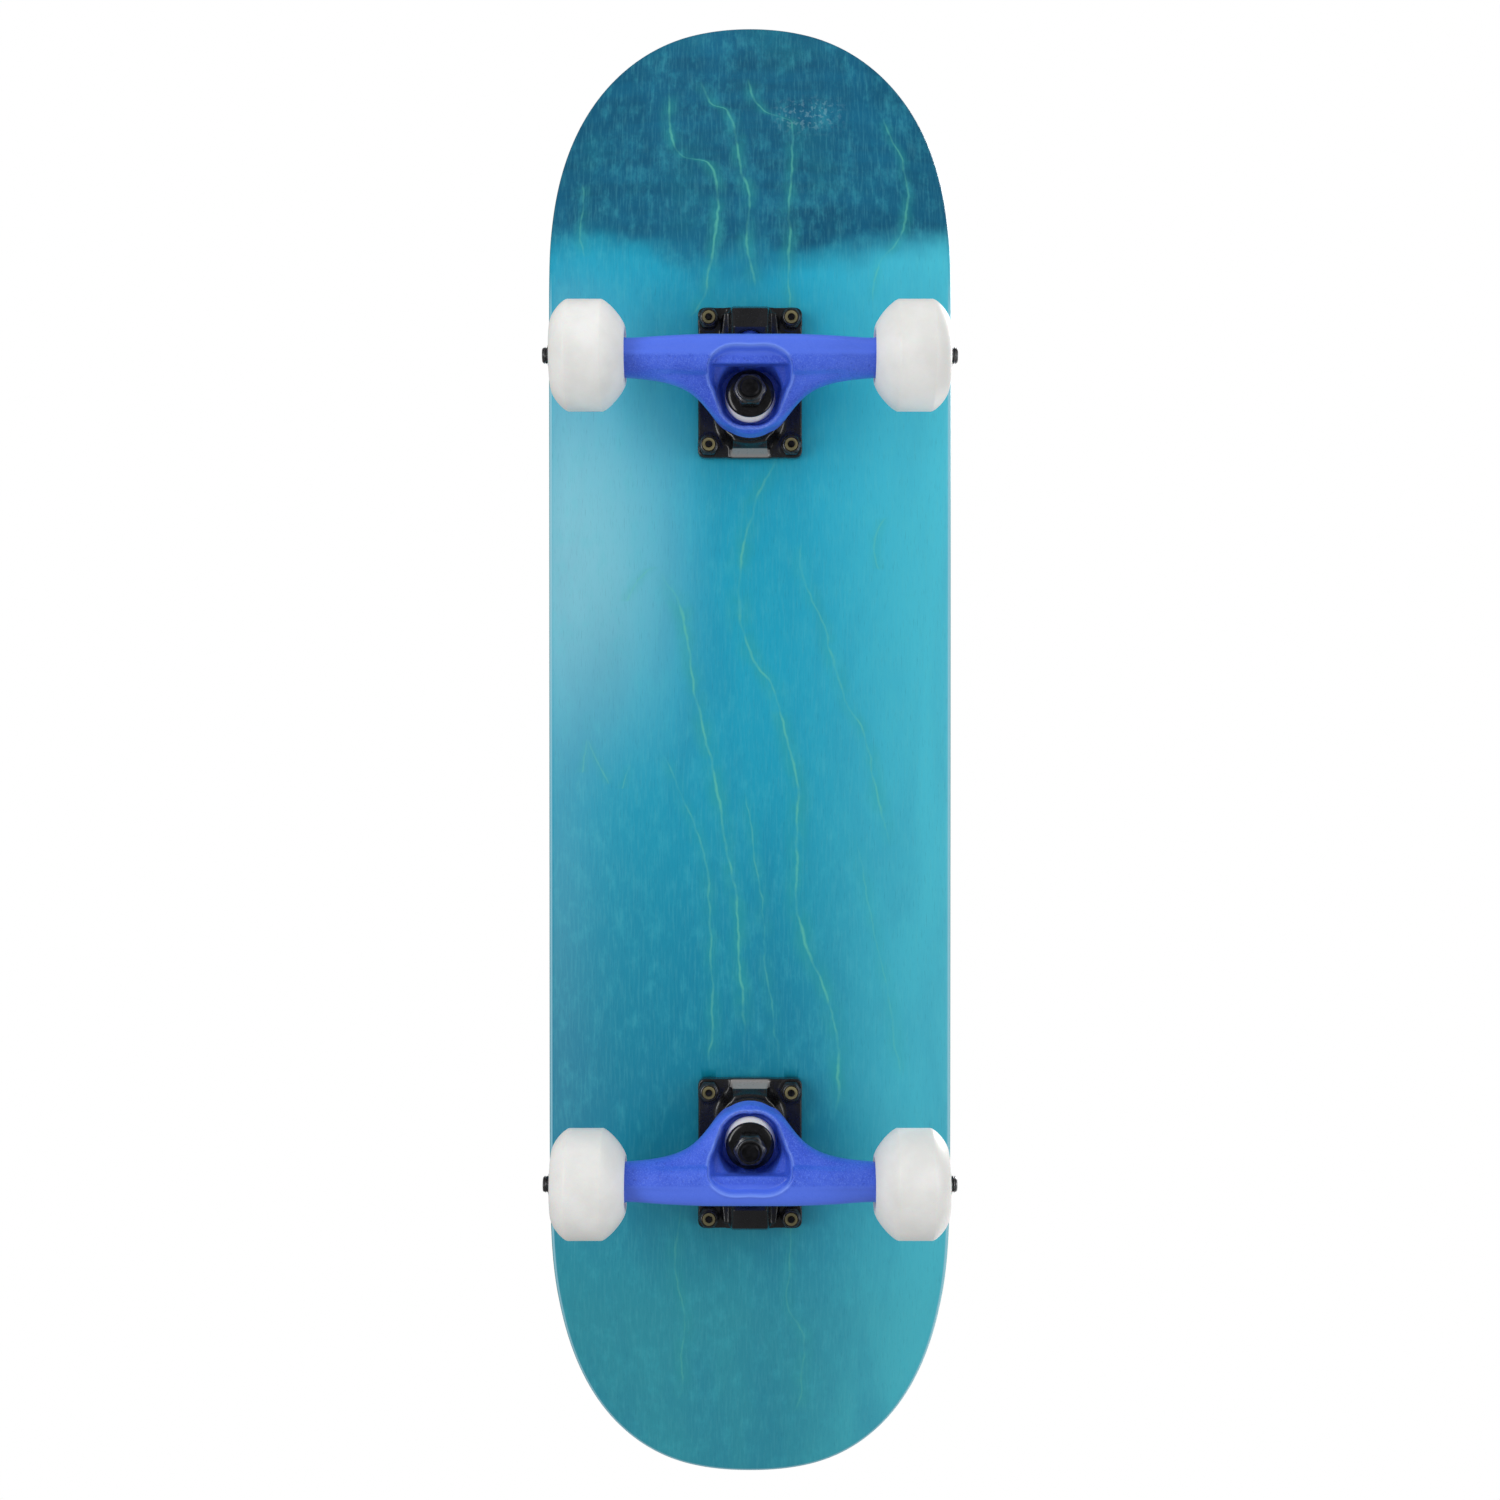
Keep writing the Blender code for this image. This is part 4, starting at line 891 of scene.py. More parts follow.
def cut_holes(piece, trucks, profile):
    """Drills a sheet for the mounting bolts."""
    shapes = []
    for truck in trucks:
        for spot in bolt_spots():
            points, quads = turned(profile, spot, DOWN, 32, closed=False)
            shapes.append((truck.world(points), quads))
    cutter = add_piece("drill", joined(*shapes), piece.data.materials[0], "grit")
    cut = piece.modifiers.new("holes", "BOOLEAN")
    cut.operation = "DIFFERENCE"
    cut.solver = "EXACT"
    cut.object = cutter
    bpy.context.view_layer.update()
    drilled = bpy.data.meshes.new_from_object(piece.evaluated_get(bpy.context.evaluated_depsgraph_get()))
    piece.modifiers.clear()
    piece.data = drilled
    bpy.data.objects.remove(cutter, do_unlink=True)


# A mounting hole's section, as (radius, distance down from the mounting face), with a countersink at the top
HOLE = [(0, -14.0), (5.0, -14.0), (5.0, -11.2), (BOLT_HOLE, -8.8), (BOLT_HOLE, 2.0), (0, 2.0)]


def build_deck(trucks):
    """The wood and the grip tape on it, both drilled."""
    form = DeckForm()
    shape, values = sheet_shape(form, -RIM_BULGE, 0.0, DECK_THICKNESS, 3.6, 2.2)
    deck = add_piece("deck_fine", shape, MAPLE, "stained_maple", "root", "deck", values, 30)
    cut_holes(deck, trucks, HOLE)
    low, high = DECK_THICKNESS + GRIP_LOW, DECK_THICKNESS + GRIP_HIGH
    shape, values = sheet_shape(form, GRIP_INSET - RIM_BULGE, low, high, 0.1, 0.35)
    grip = add_piece("grip_tape_fine", shape, GRIP, "grit", "root", "grip_tape", values, 30)
    cut_holes(grip, trucks, HOLE)


# Materials

def srgb(red, green, blue):
    """A colour given as 0 to 255, as the linear colour that a node takes."""
    shares = (red / 255, green / 255, blue / 255)
    return (*[c / 12.92 if c <= 0.04045 else ((c + 0.055) / 1.055) ** 2.4 for c in shares], 1.0)


class Value:
    """A socket that takes part in sums. Either side may be a number, and numbers alone stay with Python."""

    def __init__(self, look, socket):
        self.look, self.socket = look, socket

    def sum(self, operation, *values):
        """A Math node on these values."""
        return self.look.node("ShaderNodeMath", {"operation": operation}, dict(enumerate(values)))

    def __add__(self, other):
        return self.sum("ADD", self, other)

    def __radd__(self, other):
        return self.sum("ADD", other, self)

    def __sub__(self, other):
        return self.sum("SUBTRACT", self, other)

    def __rsub__(self, other):
        return self.sum("SUBTRACT", other, self)

    def __mul__(self, other):
        return self.sum("MULTIPLY", self, other)

    def __rmul__(self, other):
        return self.sum("MULTIPLY", other, self)

    def __truediv__(self, other):
        return self.sum("DIVIDE", self, other)

    def __rtruediv__(self, other):
        return self.sum("DIVIDE", other, self)

    def __abs__(self):
        return self.sum("ABSOLUTE", self)

    def most(self, other):
        """The greater of two values."""
        return self.sum("MAXIMUM", self, other)


def socket_name(key):
    """The shader's own name for an input, such as Specular IOR Level."""
    return key.replace("_", " ").title().replace("Ior", "IOR")


class Nodes:
    """A node tree, and the one way in which nodes are added to it."""

    def __init__(self, tree):
        self.tree = tree

    def node(self, kind, settings, inputs, output=0):
        """Any node: its settings first, then each input's value or link. Gives back one of its outputs."""
        node = self.tree.nodes.new(kind)
        for key, value in settings.items():
            setattr(node, key, value)
        for key, value in inputs.items():
            self.feed(node.inputs[key], value)
        return Value(self, node.outputs[output])

    def feed(self, target, value):
        """Links a value to a socket, or sets a number or colour on it."""
        if isinstance(value, Value):
            self.tree.links.new(value.socket, target)
        else:
            target.default_value = value


class Look(Nodes):
    """A material under construction, with a Principled shader at its end."""

    def __init__(self, name, **constants):
        self.material = bpy.data.materials.new(name)
        self.material.use_nodes = True
        super().__init__(self.material.node_tree)
        self.tree.nodes.clear()
        self.shader = self.tree.nodes.new("ShaderNodeBsdfPrincipled")
        self.output = self.tree.nodes.new("ShaderNodeOutputMaterial")
        self.tree.links.new(self.shader.outputs[0], self.output.inputs[0])
        for key, value in constants.items():
            self.shader.inputs[socket_name(key)].default_value = value

    def finish(self, **inputs):
        """Feeds the shader and gives back the material. bump is a height, and depth its size in metres."""
        depth = inputs.pop("depth", 0.0001)
        bump = inputs.pop("bump", None)
        if bump is not None:
            heights = {"Strength": 1.0, "Distance": depth, "Height": bump}
            inputs["normal"] = self.node("ShaderNodeBump", {}, heights)
        for key, value in inputs.items():
            self.feed(self.shader.inputs[socket_name(key)], value)
        return self.material

    def place(self):
        """Object coordinates, in metres."""
        return self.node("ShaderNodeTexCoord", {}, {}, "Object")

    def split(self, vector):
        """The three parts of a vector."""
        return [self.node("ShaderNodeSeparateXYZ", {}, {0: vector}, i) for i in range(3)]

    def vector(self, x, y, z):
        """Three values as one place."""
        return self.node("ShaderNodeCombineXYZ", {}, {0: x, 1: y, 2: z})

    def map(self, name):
        """A piece's own UV map."""
        return self.node("ShaderNodeUVMap", {"uv_map": name}, {})

    def noise(self, at, scale, detail=3.0, roughness=0.5, distortion=0.0):
        """A cloudy value about 0.5, whose patches are about 1 / scale wide."""
        inputs = {"Vector": at, "Scale": scale, "Detail": detail}
        inputs |= {"Roughness": roughness, "Distortion": distortion}
        return self.node("ShaderNodeTexNoise", {}, inputs)

    def cells(self, at, scale, feature="F1"):
        """The distance from each place to the nearest of many scattered points."""
        inputs = {"Vector": at, "Scale": scale}
        return self.node("ShaderNodeTexVoronoi", {"feature": feature}, inputs, "Distance")

    def stretched(self, at, scale, turn=(0, 0, 0)):
        """Places turned and stretched, for marks that run one way."""
        return self.node("ShaderNodeMapping", {}, {0: at, 2: turn, 3: scale})

    def mix(self, share, a, b):
        """Colour a where share is 0 and colour b where it is 1."""
        return self.node("ShaderNodeMix", {"data_type": "RGBA"}, {0: share, 6: a, 7: b}, 2)

    def ease(self, value, start, end, low=0.0, high=1.0):
        """From low at start to high at end, with a smooth step between."""
        inputs = {0: value, 1: start, 2: end, 3: low, 4: high}
        return self.node("ShaderNodeMapRange", {"interpolation_type": "SMOOTHSTEP"}, inputs)

    def curve(self, value, points):
        """A smooth curve through points whose two coordinates run from 0 to 1."""
        curve = self.node("ShaderNodeFloatCurve", {}, {1: value})
        mapping = curve.socket.node.mapping
        line = mapping.curves[0].points
        for point in points[1:-1]:
            line.new(*point)
        for mine, point in zip(line, sorted(points)):
            mine.location = point
        mapping.update()
        return curve

    def path(self, along, points):
        """How far across the board a grain line lies at each place along it, and the share of its length."""
        (low, bottom), (high, top) = np.min(points, 0), np.max(points, 0)
        share = (along - float(low)) / float(high - low)
        scaled = [(float((x - low) / (high - low)), float((y - bottom) / (top - bottom))) for x, y in points]
        return self.curve(share, sorted(scaled)) * float(top - bottom) + float(bottom), share


# Grain lines in the underside's veneer: points as (along, across) in millimetres, width, strength and halo
GRAIN = [
    ([(352.6, -42.3), (334.2, -42.9), (319.5, -39.8), (309, -33), (305.5, -21.1), (291, -17.1),
      (254.4, -18.3), (217.5, -35)], 1.5, 0.62, 5),
    ([(357.6, -27.5), (341.6, -20.1), (337.9, -11.6), (322, -7.2), (301, -5.4), (285, -1.1), (263, -1.1),
      (231, 3)], 1.5, 0.60, 5),
    ([(361, -2.3), (347.7, 0.8), (339, 5.7), (333, 17.9), (329, 22.2), (309.7, 22.2), (285, 19.8),
      (266.7, 19.8), (218, 21)], 1.4, 0.55, 5),
    ([(336.7, 68.3), (323, 72), (309.7, 78.1), (291, 80.6), (272.8, 79.4), (248, 67),
      (226, 61)], 1.3, 0.50, 4),
    ([(298.6, -89), (291.2, -85.9), (272.8, -86.5), (252, -82.8)], 1.1, 0.40, 4),
    ([(157, 20), (136.8, 7.6), (119.4, 0.8), (96, -4.8), (77.6, -4.2), (55.4, -1.7), (32.1, 10.6),
      (18.6, 14.9), (-3.5, 20.4), (-24.4, 24.7), (-76, 24.3), (-96, 27.9), (-131.8, 40.5), (-157, 45.6),
      (-187, 43)], 1.5, 0.72, 6),
    ([(93.7, -47), (84.9, -42.3), (75.1, -36.1), (57.9, -31.2), (35.8, -28.7), (11.2, -22.6), (-10.9, -17.7),
      (-40.5, -14.2), (-76, -7.6), (-106, -5), (-147, -2.5)], 1.5, 0.72, 6),
    ([(93.7, -47), (88.7, -54.5), (75.1, -61.9)], 1.3, 0.5, 4),
    ([(108, 25.3), (96, 24.7), (75, 31.4), (58, 38.8), (45.6, 42.5), (26, 48.7), (3.9, 59.7), (-12.1, 62.2),
      (-51, 71)], 1.3, 0.55, 5),
    ([(119.4, 69.5), (100.9, 64.6), (91, 67)], 1.1, 0.4, 4),
    ([(6, -82.8), (-12, -86.5)], 1.1, 0.4, 3),
    ([(6, -82.8), (-18, -73)], 1.1, 0.4, 3),
    ([(-7, -62), (-20, -67)], 1.1, 0.4, 3),
    ([(2.5, -48), (-3.5, -43.5), (-17, -37.4), (-50, -25), (-91, -20), (-130, -19),
      (-160, -21)], 1.3, 0.5, 5),
    ([(-18, -3.5), (-52, 2.5), (-111, 9.5), (-163, 14.4)], 1.1, 0.4, 5),
    ([(-40, 52), (-90, 63), (-130, 72), (-168, 76)], 1.0, 0.3, 5),
    ([(-225, -30), (-262, -38), (-300, -34), (-345, -40)], 1.1, 0.35, 5),
    ([(-232, 26), (-275, 20), (-310, 27), (-352, 22)], 1.1, 0.35, 5),
]

# The board's colours, from its tail to its nose, then its plies and its top. Some are painted light rather than
# stain: the tail to middle tones are partly stain and partly painted shade, the nose ones are partly a deeper
# stain and partly painted shade, rail is a painted lighter side, and the sheen and the edge shine are painted
# highlights.
STAINS = {
    "tail": (46, 150, 168), "low": (10, 134, 163), "middle": (20, 164, 196), "rail": (84, 206, 224),
    "painted_sheen": (158, 220, 230), "nose_deep": (0, 80, 112), "nose": (4, 93, 126),
    "nose_light": (16, 110, 128), "blotch": (8, 118, 158), "mottle": (70, 190, 205),
    "fibre": (96, 196, 205), "pore": (4, 92, 124), "halo": (48, 164, 156), "grain": (104, 204, 176),
    "scuff": (150, 195, 205), "painted_rim_shine": (158, 210, 226), "bare_dark": (178, 148, 94),
    "bare_light": (208, 184, 132), "green_ply": (48, 134, 104), "blue_ply": (30, 118, 142),
    "top_dark": (24, 100, 128), "top_light": (42, 132, 160),
}


def maple():
    """The stained and lacquered board: a blue veneer outside, natural, green and blue ones at the rim. Its
    colour also holds painted light: shade on the nose and along the board, one lighter side, a highlight left of
    the middle and one along the rolled rim.
    """
    look = Look("stained_maple", coat_weight=0.12, coat_roughness=0.30, specular_ior_level=0.26)
    stain = {name: srgb(*colour) for name, colour in STAINS.items()}
    along, across = (place / MM for place in look.split(look.map("wood"))[:2])
    ply = look.split(look.map("layer"))[0] / MM
    wood = look.vector(along * 0.001, across * 0.001, ply * 0.001)
    fibre = look.vector(along * 0.0055, across * 0.060, ply * 0.01)
    broad = look.vector(along * 0.003, across * 0.012, 0.0)
    wander = look.noise(wood, 22.0, 3.0) - 0.5
    ripple = look.noise(wood, 130.0, 2.0) - 0.5
    warped = across + wander * 9.0 + ripple * 2.2
    fine = look.noise(fibre, 14.0, 6.0, 0.62)
    pores = look.noise(look.vector(along * 0.018, across * 0.26, 0.0), 8.0, 2.0, 0.6)
    blotch = look.noise(broad, 2.2, 4.0, 0.55, 0.6)
    bands = look.noise(look.vector(along * 0.05, across * 0.006, 0.0), 1.6, 3.0, 0.55)
    # Tail to middle: partly the stain's own change and partly painted shade, darker where less light falls.
    colour = look.mix(look.ease(along, -300, -190), stain["tail"], stain["low"])
    colour = look.mix(look.ease(along, -170, 60), colour, stain["middle"])
    # Painted light: lighter towards one rail, where the concave faces the lamps.
    colour = look.mix(look.ease(across, 10, 100, 0, 0.62), colour, stain["rail"])
    # A painted highlight: a lamp's soft reflection left of the middle, broken up by the blotches.
    painted_sheen = look.ease(abs(across + 84), 74, 4, 0, 1) * look.ease(abs(along - 104), 140, 6, 0, 1)
    colour = look.mix(painted_sheen * (0.34 + 0.40 * blotch), colour, stain["painted_sheen"])
    # Past the nose's bend: partly a deeper stain and partly painted shade, as the kick turns away from the
    # lamps.
    edge = 250 + wander * 40 + look.ease(abs(across), 10, 98, 0, 16)
    nose = look.ease(along - edge, -20, 9)
    dark = look.mix(look.ease(bands, 0.30, 0.70), stain["nose_deep"], stain["nose"])
    dark = look.mix(look.ease(wander, 0.0, 0.16, 0, 0.35), dark, stain["nose_light"])
    colour = look.mix(nose, colour, dark)
    colour = look.mix(look.ease(blotch, 0.40, 0.72, 0, 0.26), colour, stain["blotch"])
    mottle = look.noise(look.vector(along * 0.009, across * 0.016, 0.7), 9.0, 5.0, 0.65)
    colour = look.mix(look.ease(mottle, 0.45, 0.75, 0, 0.22), colour, stain["mottle"])
    colour = look.mix(look.ease(fine, 0.45, 0.70, 0, 0.13), colour, stain["fibre"])
    colour = look.mix(look.ease(pores, 0.56, 0.72, 0, 0.20), colour, stain["pore"])
    strength, halo_strength = None, None
    for points, width, weight, halo in GRAIN:
        centre, share = look.path(along, points)
        off = abs(warped - centre)
        ends = look.ease(share, 0.0, 0.07) * look.ease(share, 1.0, 0.90)
        line = look.ease(off, width * 0.7, 0, 0, weight * 0.72) * ends
        glow = look.ease(off, halo * 1.5, 0, 0, weight * 0.55) * ends
        strength = line if strength is None else strength.most(line)
        halo_strength = glow if halo_strength is None else halo_strength.most(glow)
    breaks = look.noise(look.vector(along * 0.02, across * 0.03, 0.3), 3.2, 3.0)
    broken = look.ease(breaks, 0.34, 0.64, 0.22, 1.0)
    colour = look.mix(halo_strength * broken, colour, stain["halo"])
    colour = look.mix(strength * broken, colour, stain["grain"])
    scuff = look.ease(abs(along - 335 + wander * 8), 14, 2) * look.ease(abs(across - 30 + wander * 14), 22, 6)
    scuff = scuff * look.ease(look.noise(wood, 420.0, 3.0), 0.52, 0.62)
    colour = look.mix(scuff * 0.22, colour, stain["scuff"])
    # A painted highlight along the underside's rolled rim, short of the nose.
    rail = look.ease(ply, 0.05, 0.30) * look.ease(ply, 1.15, 0.8) * look.ease(along, 250, 215)
    colour = look.mix(rail * 0.75, colour, stain["painted_rim_shine"])
    layer = look.node("ShaderNodeMath", {"operation": "FLOOR"}, {0: (ply + ripple * 0.12) / 1.5})
    pale = look.noise(look.vector(along * 0.02, across * 0.02, ply * 0.6), 9.0, 3.0)
    side = look.mix(look.ease(pale, 0.3, 0.7), stain["bare_dark"], stain["bare_light"])
    side = look.mix(look.ease(abs(layer - 1.0), 0.6, 0.2), side, stain["green_ply"])
    side = look.mix(look.ease(abs(layer - 4.0), 0.6, 0.2), side, stain["blue_ply"])
    side = look.mix(look.ease(ply, 1.35, 1.6), colour, side)
    top = look.mix(look.ease(fine, 0.4, 0.7), stain["top_dark"], stain["top_light"])
    colour = look.mix(look.ease(ply, 9.0, 9.2), side, top)
    rough = 0.30 + fine * 0.14 + look.ease(blotch, 0.3, 0.7, 0, 0.06)
    bump = fine * 0.4 + pores * 0.3 - strength * 0.2
    return look.finish(base_color=colour, roughness=rough, bump=bump, depth=0.00006)


def grip():
    """Grit on black tape: grains at two sizes, with bright facets."""
    look = Look("grip_grit")
    at = look.place()
    grain = look.cells(at, 1500.0)
    small = look.noise(at, 2600.0, 2.0)
    patch = look.noise(at, 14.0, 4.0)
    spark = look.ease(look.cells(at, 900.0, "SMOOTH_F1"), 0.14, 0.06) * look.ease(small, 0.52, 0.64)
    colour = look.mix(look.ease(small, 0.35, 0.7), srgb(14, 14, 15), srgb(42, 42, 44))
    colour = look.mix(spark * 0.6, colour, srgb(120, 120, 124))
    colour = look.mix(look.ease(patch, 0.35, 0.75, 0, 0.25), colour, srgb(30, 30, 31))
    rough = 0.92 - spark * 0.45
    return look.finish(base_color=colour, roughness=rough, bump=small * 0.6 - grain, depth=0.0004)


def blue_casting():
    """Painted cast aluminium: a speckled skin with small pits, and a smoother strip along the beam that is made
    paler as painted light. The bowl is darker as painted shade and its rim paler as a painted highlight.
    """
    look = Look("blue_casting", coat_weight=0.35, coat_roughness=0.18)
    at = look.place()
    x = look.split(look.map("truck"))[0] / MM
    smooth_painted_lit_strip = look.ease(x, 2.6, 4.2)
    skin = look.noise(at, 620.0, 4.0, 0.6)
    pits = look.cells(at, 420.0)
    broad = look.noise(at, 34.0, 3.0)
    speck = look.noise(at, 1500.0, 2.0, 0.7)
    colour = look.mix(look.ease(broad, 0.3, 0.7), srgb(50, 86, 214), srgb(72, 110, 238))
    colour = look.mix(look.ease(speck, 0.48, 0.66, 0, 0.55), colour, srgb(100, 136, 246))
    colour = look.mix(look.ease(skin, 0.46, 0.30, 0, 0.40), colour, srgb(34, 64, 178))
    # Painted light: the strip along the beam that faces the lamps is lighter.
    colour = look.mix(smooth_painted_lit_strip * 0.8, colour, srgb(82, 118, 240))
    # Painted shade inside the bowl, and a painted highlight along its rim.
    painted_bowl_shade, rim = look.split(look.map("marks"))[:2]
    colour = look.mix(painted_bowl_shade * 0.25, colour, srgb(20, 54, 180))
    colour = look.mix(rim * 0.75, colour, srgb(122, 156, 255))
    rough = 0.30 + look.ease(skin, 0.3, 0.7, 0, 0.16)
    height = skin * 0.8 + look.ease(pits, 0.0, 0.35) * 0.35 + speck * 0.2
    return look.finish(base_color=colour, roughness=rough, bump=height * (1 - 0.65 * smooth_painted_lit_strip), depth=0.00028)


def black_casting():
    """Glossy black paint over a casting, with soft orange peel, dust and fine rubs."""
    look = Look("black_casting", coat_weight=0.6, coat_roughness=0.12)
    at = look.place()
    x, z = (place / MM for place in look.split(look.map("truck"))[:2])
    skin = look.noise(at, 420.0, 3.0, 0.55)
    broad = look.noise(at, 46.0, 3.0)
    dust = look.noise(at, 2200.0, 2.0, 0.7)
    rubs = look.noise(look.stretched(at, (1, 9, 4), (0.2, 0.3, 0.9)), 90.0, 3.0, 0.7)
    colour = look.mix(look.ease(broad, 0.3, 0.7), srgb(14, 14, 16), srgb(27, 27, 30))
    colour = look.mix(look.ease(dust, 0.60, 0.74, 0, 0.30), colour, srgb(86, 88, 92))
    colour = look.mix(look.ease(rubs, 0.64, 0.72, 0, 0.25), colour, srgb(70, 72, 76))
    facet = look.ease(x, -33.6, -34.0) * look.ease(z, -6.6, -7.2)
    colour = look.mix(facet * 0.9, colour, srgb(146, 144, 142))
    rough = 0.24 + look.ease(skin, 0.3, 0.7, 0, 0.16)
    return look.finish(base_color=colour, roughness=rough, bump=skin + dust * 0.1, depth=0.00012)


def metal(name, dark, light, rough, squeeze=(1, 1, 1), scale=300.0, depth=0.00002, metallic=1.0, stain=None):
    """Metal with tool marks, squeezed along one axis, a slow change of tone, and fine specks."""
    look = Look(name, metallic=metallic)
    at = look.place()
    marks = look.noise(look.stretched(at, squeeze), scale, 4.0, 0.65)
    broad = look.noise(at, 70.0, 3.0)
    speck = look.noise(at, 1800.0, 2.0, 0.7)
    colour = look.mix(look.ease(marks, 0.3, 0.7), srgb(*dark), srgb(*light))
    colour = look.mix(look.ease(speck, 0.56, 0.74, 0, 0.35), colour, srgb(*(stain or dark)))
    roughness = rough + look.ease(broad, 0.3, 0.7, -0.05, 0.07) + look.ease(marks, 0.3, 0.7, 0, 0.08)
    return look.finish(base_color=colour, roughness=roughness, bump=marks + speck * 0.3, depth=depth)


def urethane(name, dark, light, rough, glow=0.0, scale=120.0):
    """Cast plastic: slow shifts of tone, fine dust, and a faint skin. glow is how much light goes through it."""
    look = Look(name, subsurface_weight=glow, subsurface_scale=0.004)
    at = look.place()
    broad = look.noise(at, 38.0, 4.0, 0.55)
    skin = look.noise(at, scale * 5, 3.0, 0.6)
    dust = look.noise(at, 2600.0, 2.0, 0.7)
    colour = look.mix(look.ease(broad, 0.3, 0.7), srgb(*dark), srgb(*light))
    colour = look.mix(look.ease(dust, 0.60, 0.75, 0, 0.22), colour, srgb(*[c * 0.8 for c in dark]))
    roughness = rough + look.ease(skin, 0.3, 0.7, -0.04, 0.08)
    return look.finish(base_color=colour, roughness=roughness, bump=skin + dust * 0.2, depth=0.00003)


MAPLE = maple()
GRIP = grip()
BLUE_CASTING = blue_casting()
BLACK_CASTING = black_casting()
BLACK_GLOSS = metal(
    "black_gloss", (10, 10, 11), (24, 24, 26), 0.10, scale=240.0, metallic=0.0, stain=(60, 62, 66)
)
BLACK_STEEL = metal("black_steel", (26, 26, 28), (52, 52, 55), 0.34, (1, 1, 6), metallic=0.85)
BOLT_BLACK = metal("bolt_black", (30, 30, 32), (58, 58, 62), 0.32, (1, 1, 5), 420.0, 0.00001, 0.85)
BLACK_NUT = metal(
    "black_zinc", (66, 66, 69), (108, 109, 112), 0.26, (1, 1, 1), 500.0, 0.00001, 0.9, (110, 112, 118)
)
AXLE_STEEL = metal("axle_steel", (120, 120, 122), (176, 176, 178), 0.30, (1, 14, 1), 160.0, 0.00001)
RACE_STEEL = metal("race_steel", (168, 168, 170), (214, 214, 216), 0.20, (1, 20, 1), 160.0, 0.000005)
SHIELD_STEEL = metal("shield_steel", (150, 150, 153), (190, 190, 192), 0.34, (1, 1, 1), 420.0, 0.00001)
DARK_NYLON = urethane("dark_nylon", (20, 20, 22), (38, 38, 40), 0.5, scale=200.0)
OLIVE_NYLON = urethane("olive_nylon", (104, 97, 62), (140, 131, 90), 0.45, scale=200.0)
WHEEL = urethane("white_urethane", (229, 229, 226), (242, 242, 240), 0.42, glow=0.10)
BUSHING = urethane("bushing_urethane", (222, 221, 216), (236, 235, 230), 0.38, glow=0.12)
CUP = urethane("cup_urethane", (22, 22, 24), (34, 34, 36), 0.5)


# Assembly

castings = {
    "hanger": skinned(hanger_form, (-34, -64.2, -67), (34, 64.2, -8), 0.75),
    "baseplate": skinned(plate_form, (-38.5, -27, -26), (38.5, 27, 0.2), 0.65),
}
trucks = [Truck(end) for end in ("front", "rear")]
build_deck(trucks)
for truck in trucks:
    build_castings(truck, castings)
    build_kingpin(truck)
    build_hardware(truck)
    build_axle(truck)
    for side in (-1, 1):
        build_wheel(truck, side)


# Floor, light and camera

FLOOR_HALF = 20
# How bright the sky is to each kind of ray
SKY = {"Is Camera Ray": 1.0, "Is Diffuse Ray": 0.56, "Is Glossy Ray": 0.14}
CAMERA_PLACE = (0.0084, 0.0, -0.9195)
CAMERA_TILT = 0.0083
CAMERA_LENS = 47.35


def linked(name, data):
    """A new object in the scene."""
    thing = bpy.data.objects.new(name, data)
    bpy.context.scene.collection.objects.link(thing)
    return thing


def floor_look():
    """A pale matt floor that is clear from below, so that the board's underside can be seen."""
    look = Look("floor", roughness=0.9)
    at = look.place()
    colour = look.mix(look.noise(at, 3.0, 3.0), srgb(236, 236, 235), srgb(244, 244, 243))
    look.feed(look.shader.inputs["Base Color"], colour)
    back = look.node("ShaderNodeNewGeometry", {}, {}, "Backfacing")
    clear = look.node("ShaderNodeBsdfTransparent", {}, {})
    shown = look.node("ShaderNodeMixShader", {}, {0: back, 1: Value(look, look.shader.outputs[0]), 2: clear})
    look.feed(look.output.inputs[0], shown)
    return look.material


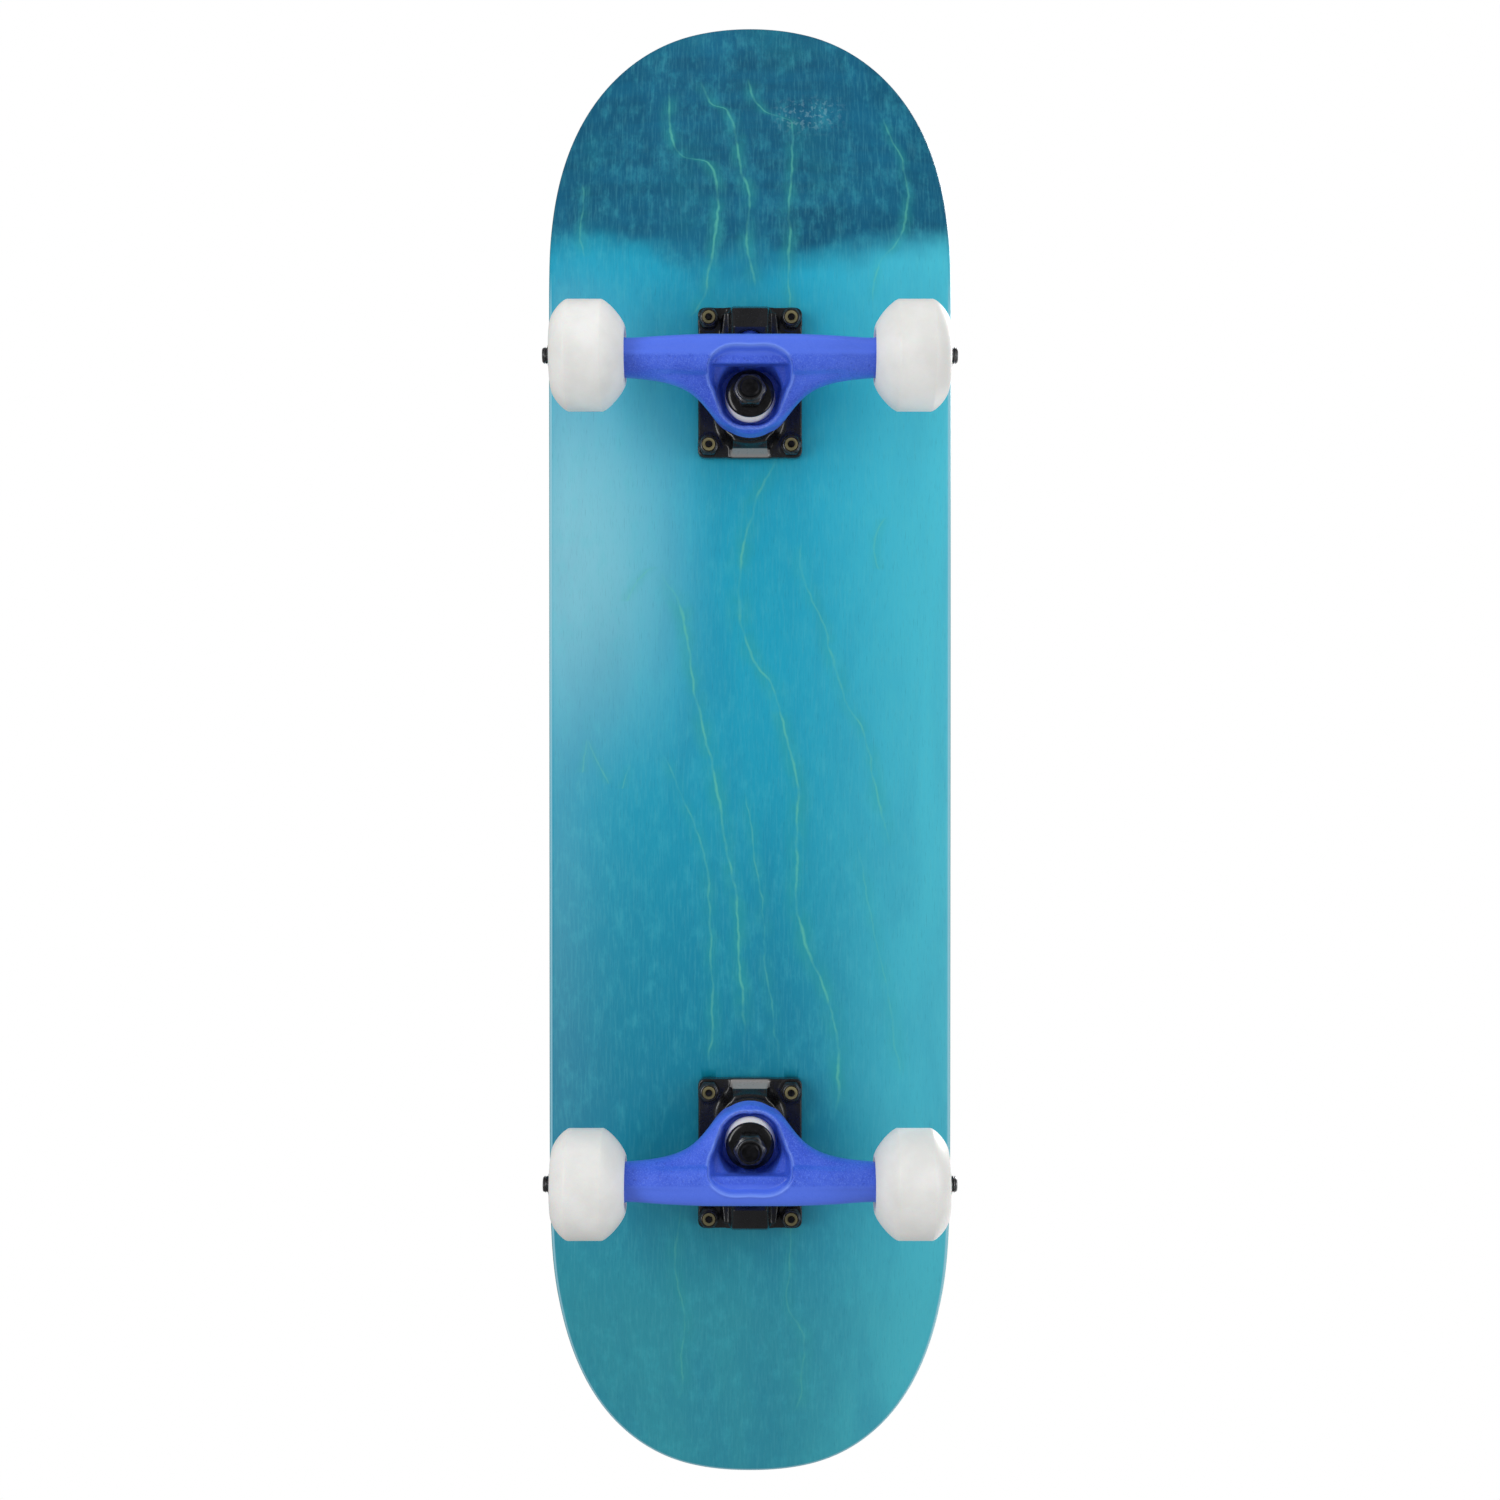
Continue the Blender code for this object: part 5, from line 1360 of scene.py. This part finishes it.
ground = bpy.data.meshes.new("floor")
far = FLOOR_HALF
ground.from_pydata([(-far, -far, 0), (far, -far, 0), (far, far, 0), (-far, far, 0)], [], [(0, 1, 2, 3)])
ground.materials.append(floor_look())
floor = linked("floor", ground)
floor.visible_shadow = floor.visible_diffuse = floor.visible_glossy = floor.visible_transmission = False

world = bpy.data.worlds.new("studio")
bpy.context.scene.world = world
world.use_nodes = True
air = Nodes(world.node_tree)
strength = sum(air.node("ShaderNodeLightPath", {}, {}, kind) * level for kind, level in SKY.items())
sky = world.node_tree.nodes["Background"]
air.feed(sky.inputs["Color"], (1, 1, 1, 1))
air.feed(sky.inputs["Strength"], strength)


def softbox(name, at, aim, size, power, mirrored=True):
    """A rectangular lamp at a place, facing another. One that isn't mirrored gives light but no highlight."""
    light = bpy.data.lights.new(name, "AREA")
    light.shape, light.size, light.size_y = "RECTANGLE", *size
    light.energy = power
    lamp = linked(name, light)
    lamp.location = at
    lamp.rotation_euler = (Vector(aim) - Vector(at)).to_track_quat("-Z", "Y").to_euler()
    lamp.visible_camera = False
    lamp.visible_glossy = mirrored


softbox("left_low", (0.15, -0.95, -0.95), (0, 0, 0.08), (1.3, 0.4), 7)
softbox("right_low", (0.0, 1.10, -0.45), (0, 0, 0.08), (1.3, 0.4), 4.5)
softbox("nose_low", (1.25, 0.0, -0.25), (0.0, 0, 0.06), (0.5, 0.5), 3.5, False)
softbox("fill", (-0.9, 0.9, 1.2), (0, 0, 0.08), (1.2, 1.2), 5)
sun = bpy.data.lights.new("key", "SUN")
sun.energy, sun.angle = 1.5, math.radians(22)
linked("key", sun).rotation_euler = (math.radians(-32), math.radians(22), 0)

# The camera looks up at the underside, with the nose at the top of its frame
bpy.context.scene.view_settings.view_transform = "Standard"
camera = linked("camera", bpy.data.cameras.new("camera"))
camera.data.lens = CAMERA_LENS
camera.data.sensor_width = 36
ahead = Vector((-CAMERA_TILT, 0, 1)).normalized()
up = Vector((1, 0, CAMERA_TILT)).normalized()
columns = Matrix((ahead.cross(up), up, -ahead)).transposed()
camera.matrix_world = Matrix.Translation(CAMERA_PLACE) @ columns.to_4x4()
bpy.context.scene.camera = camera
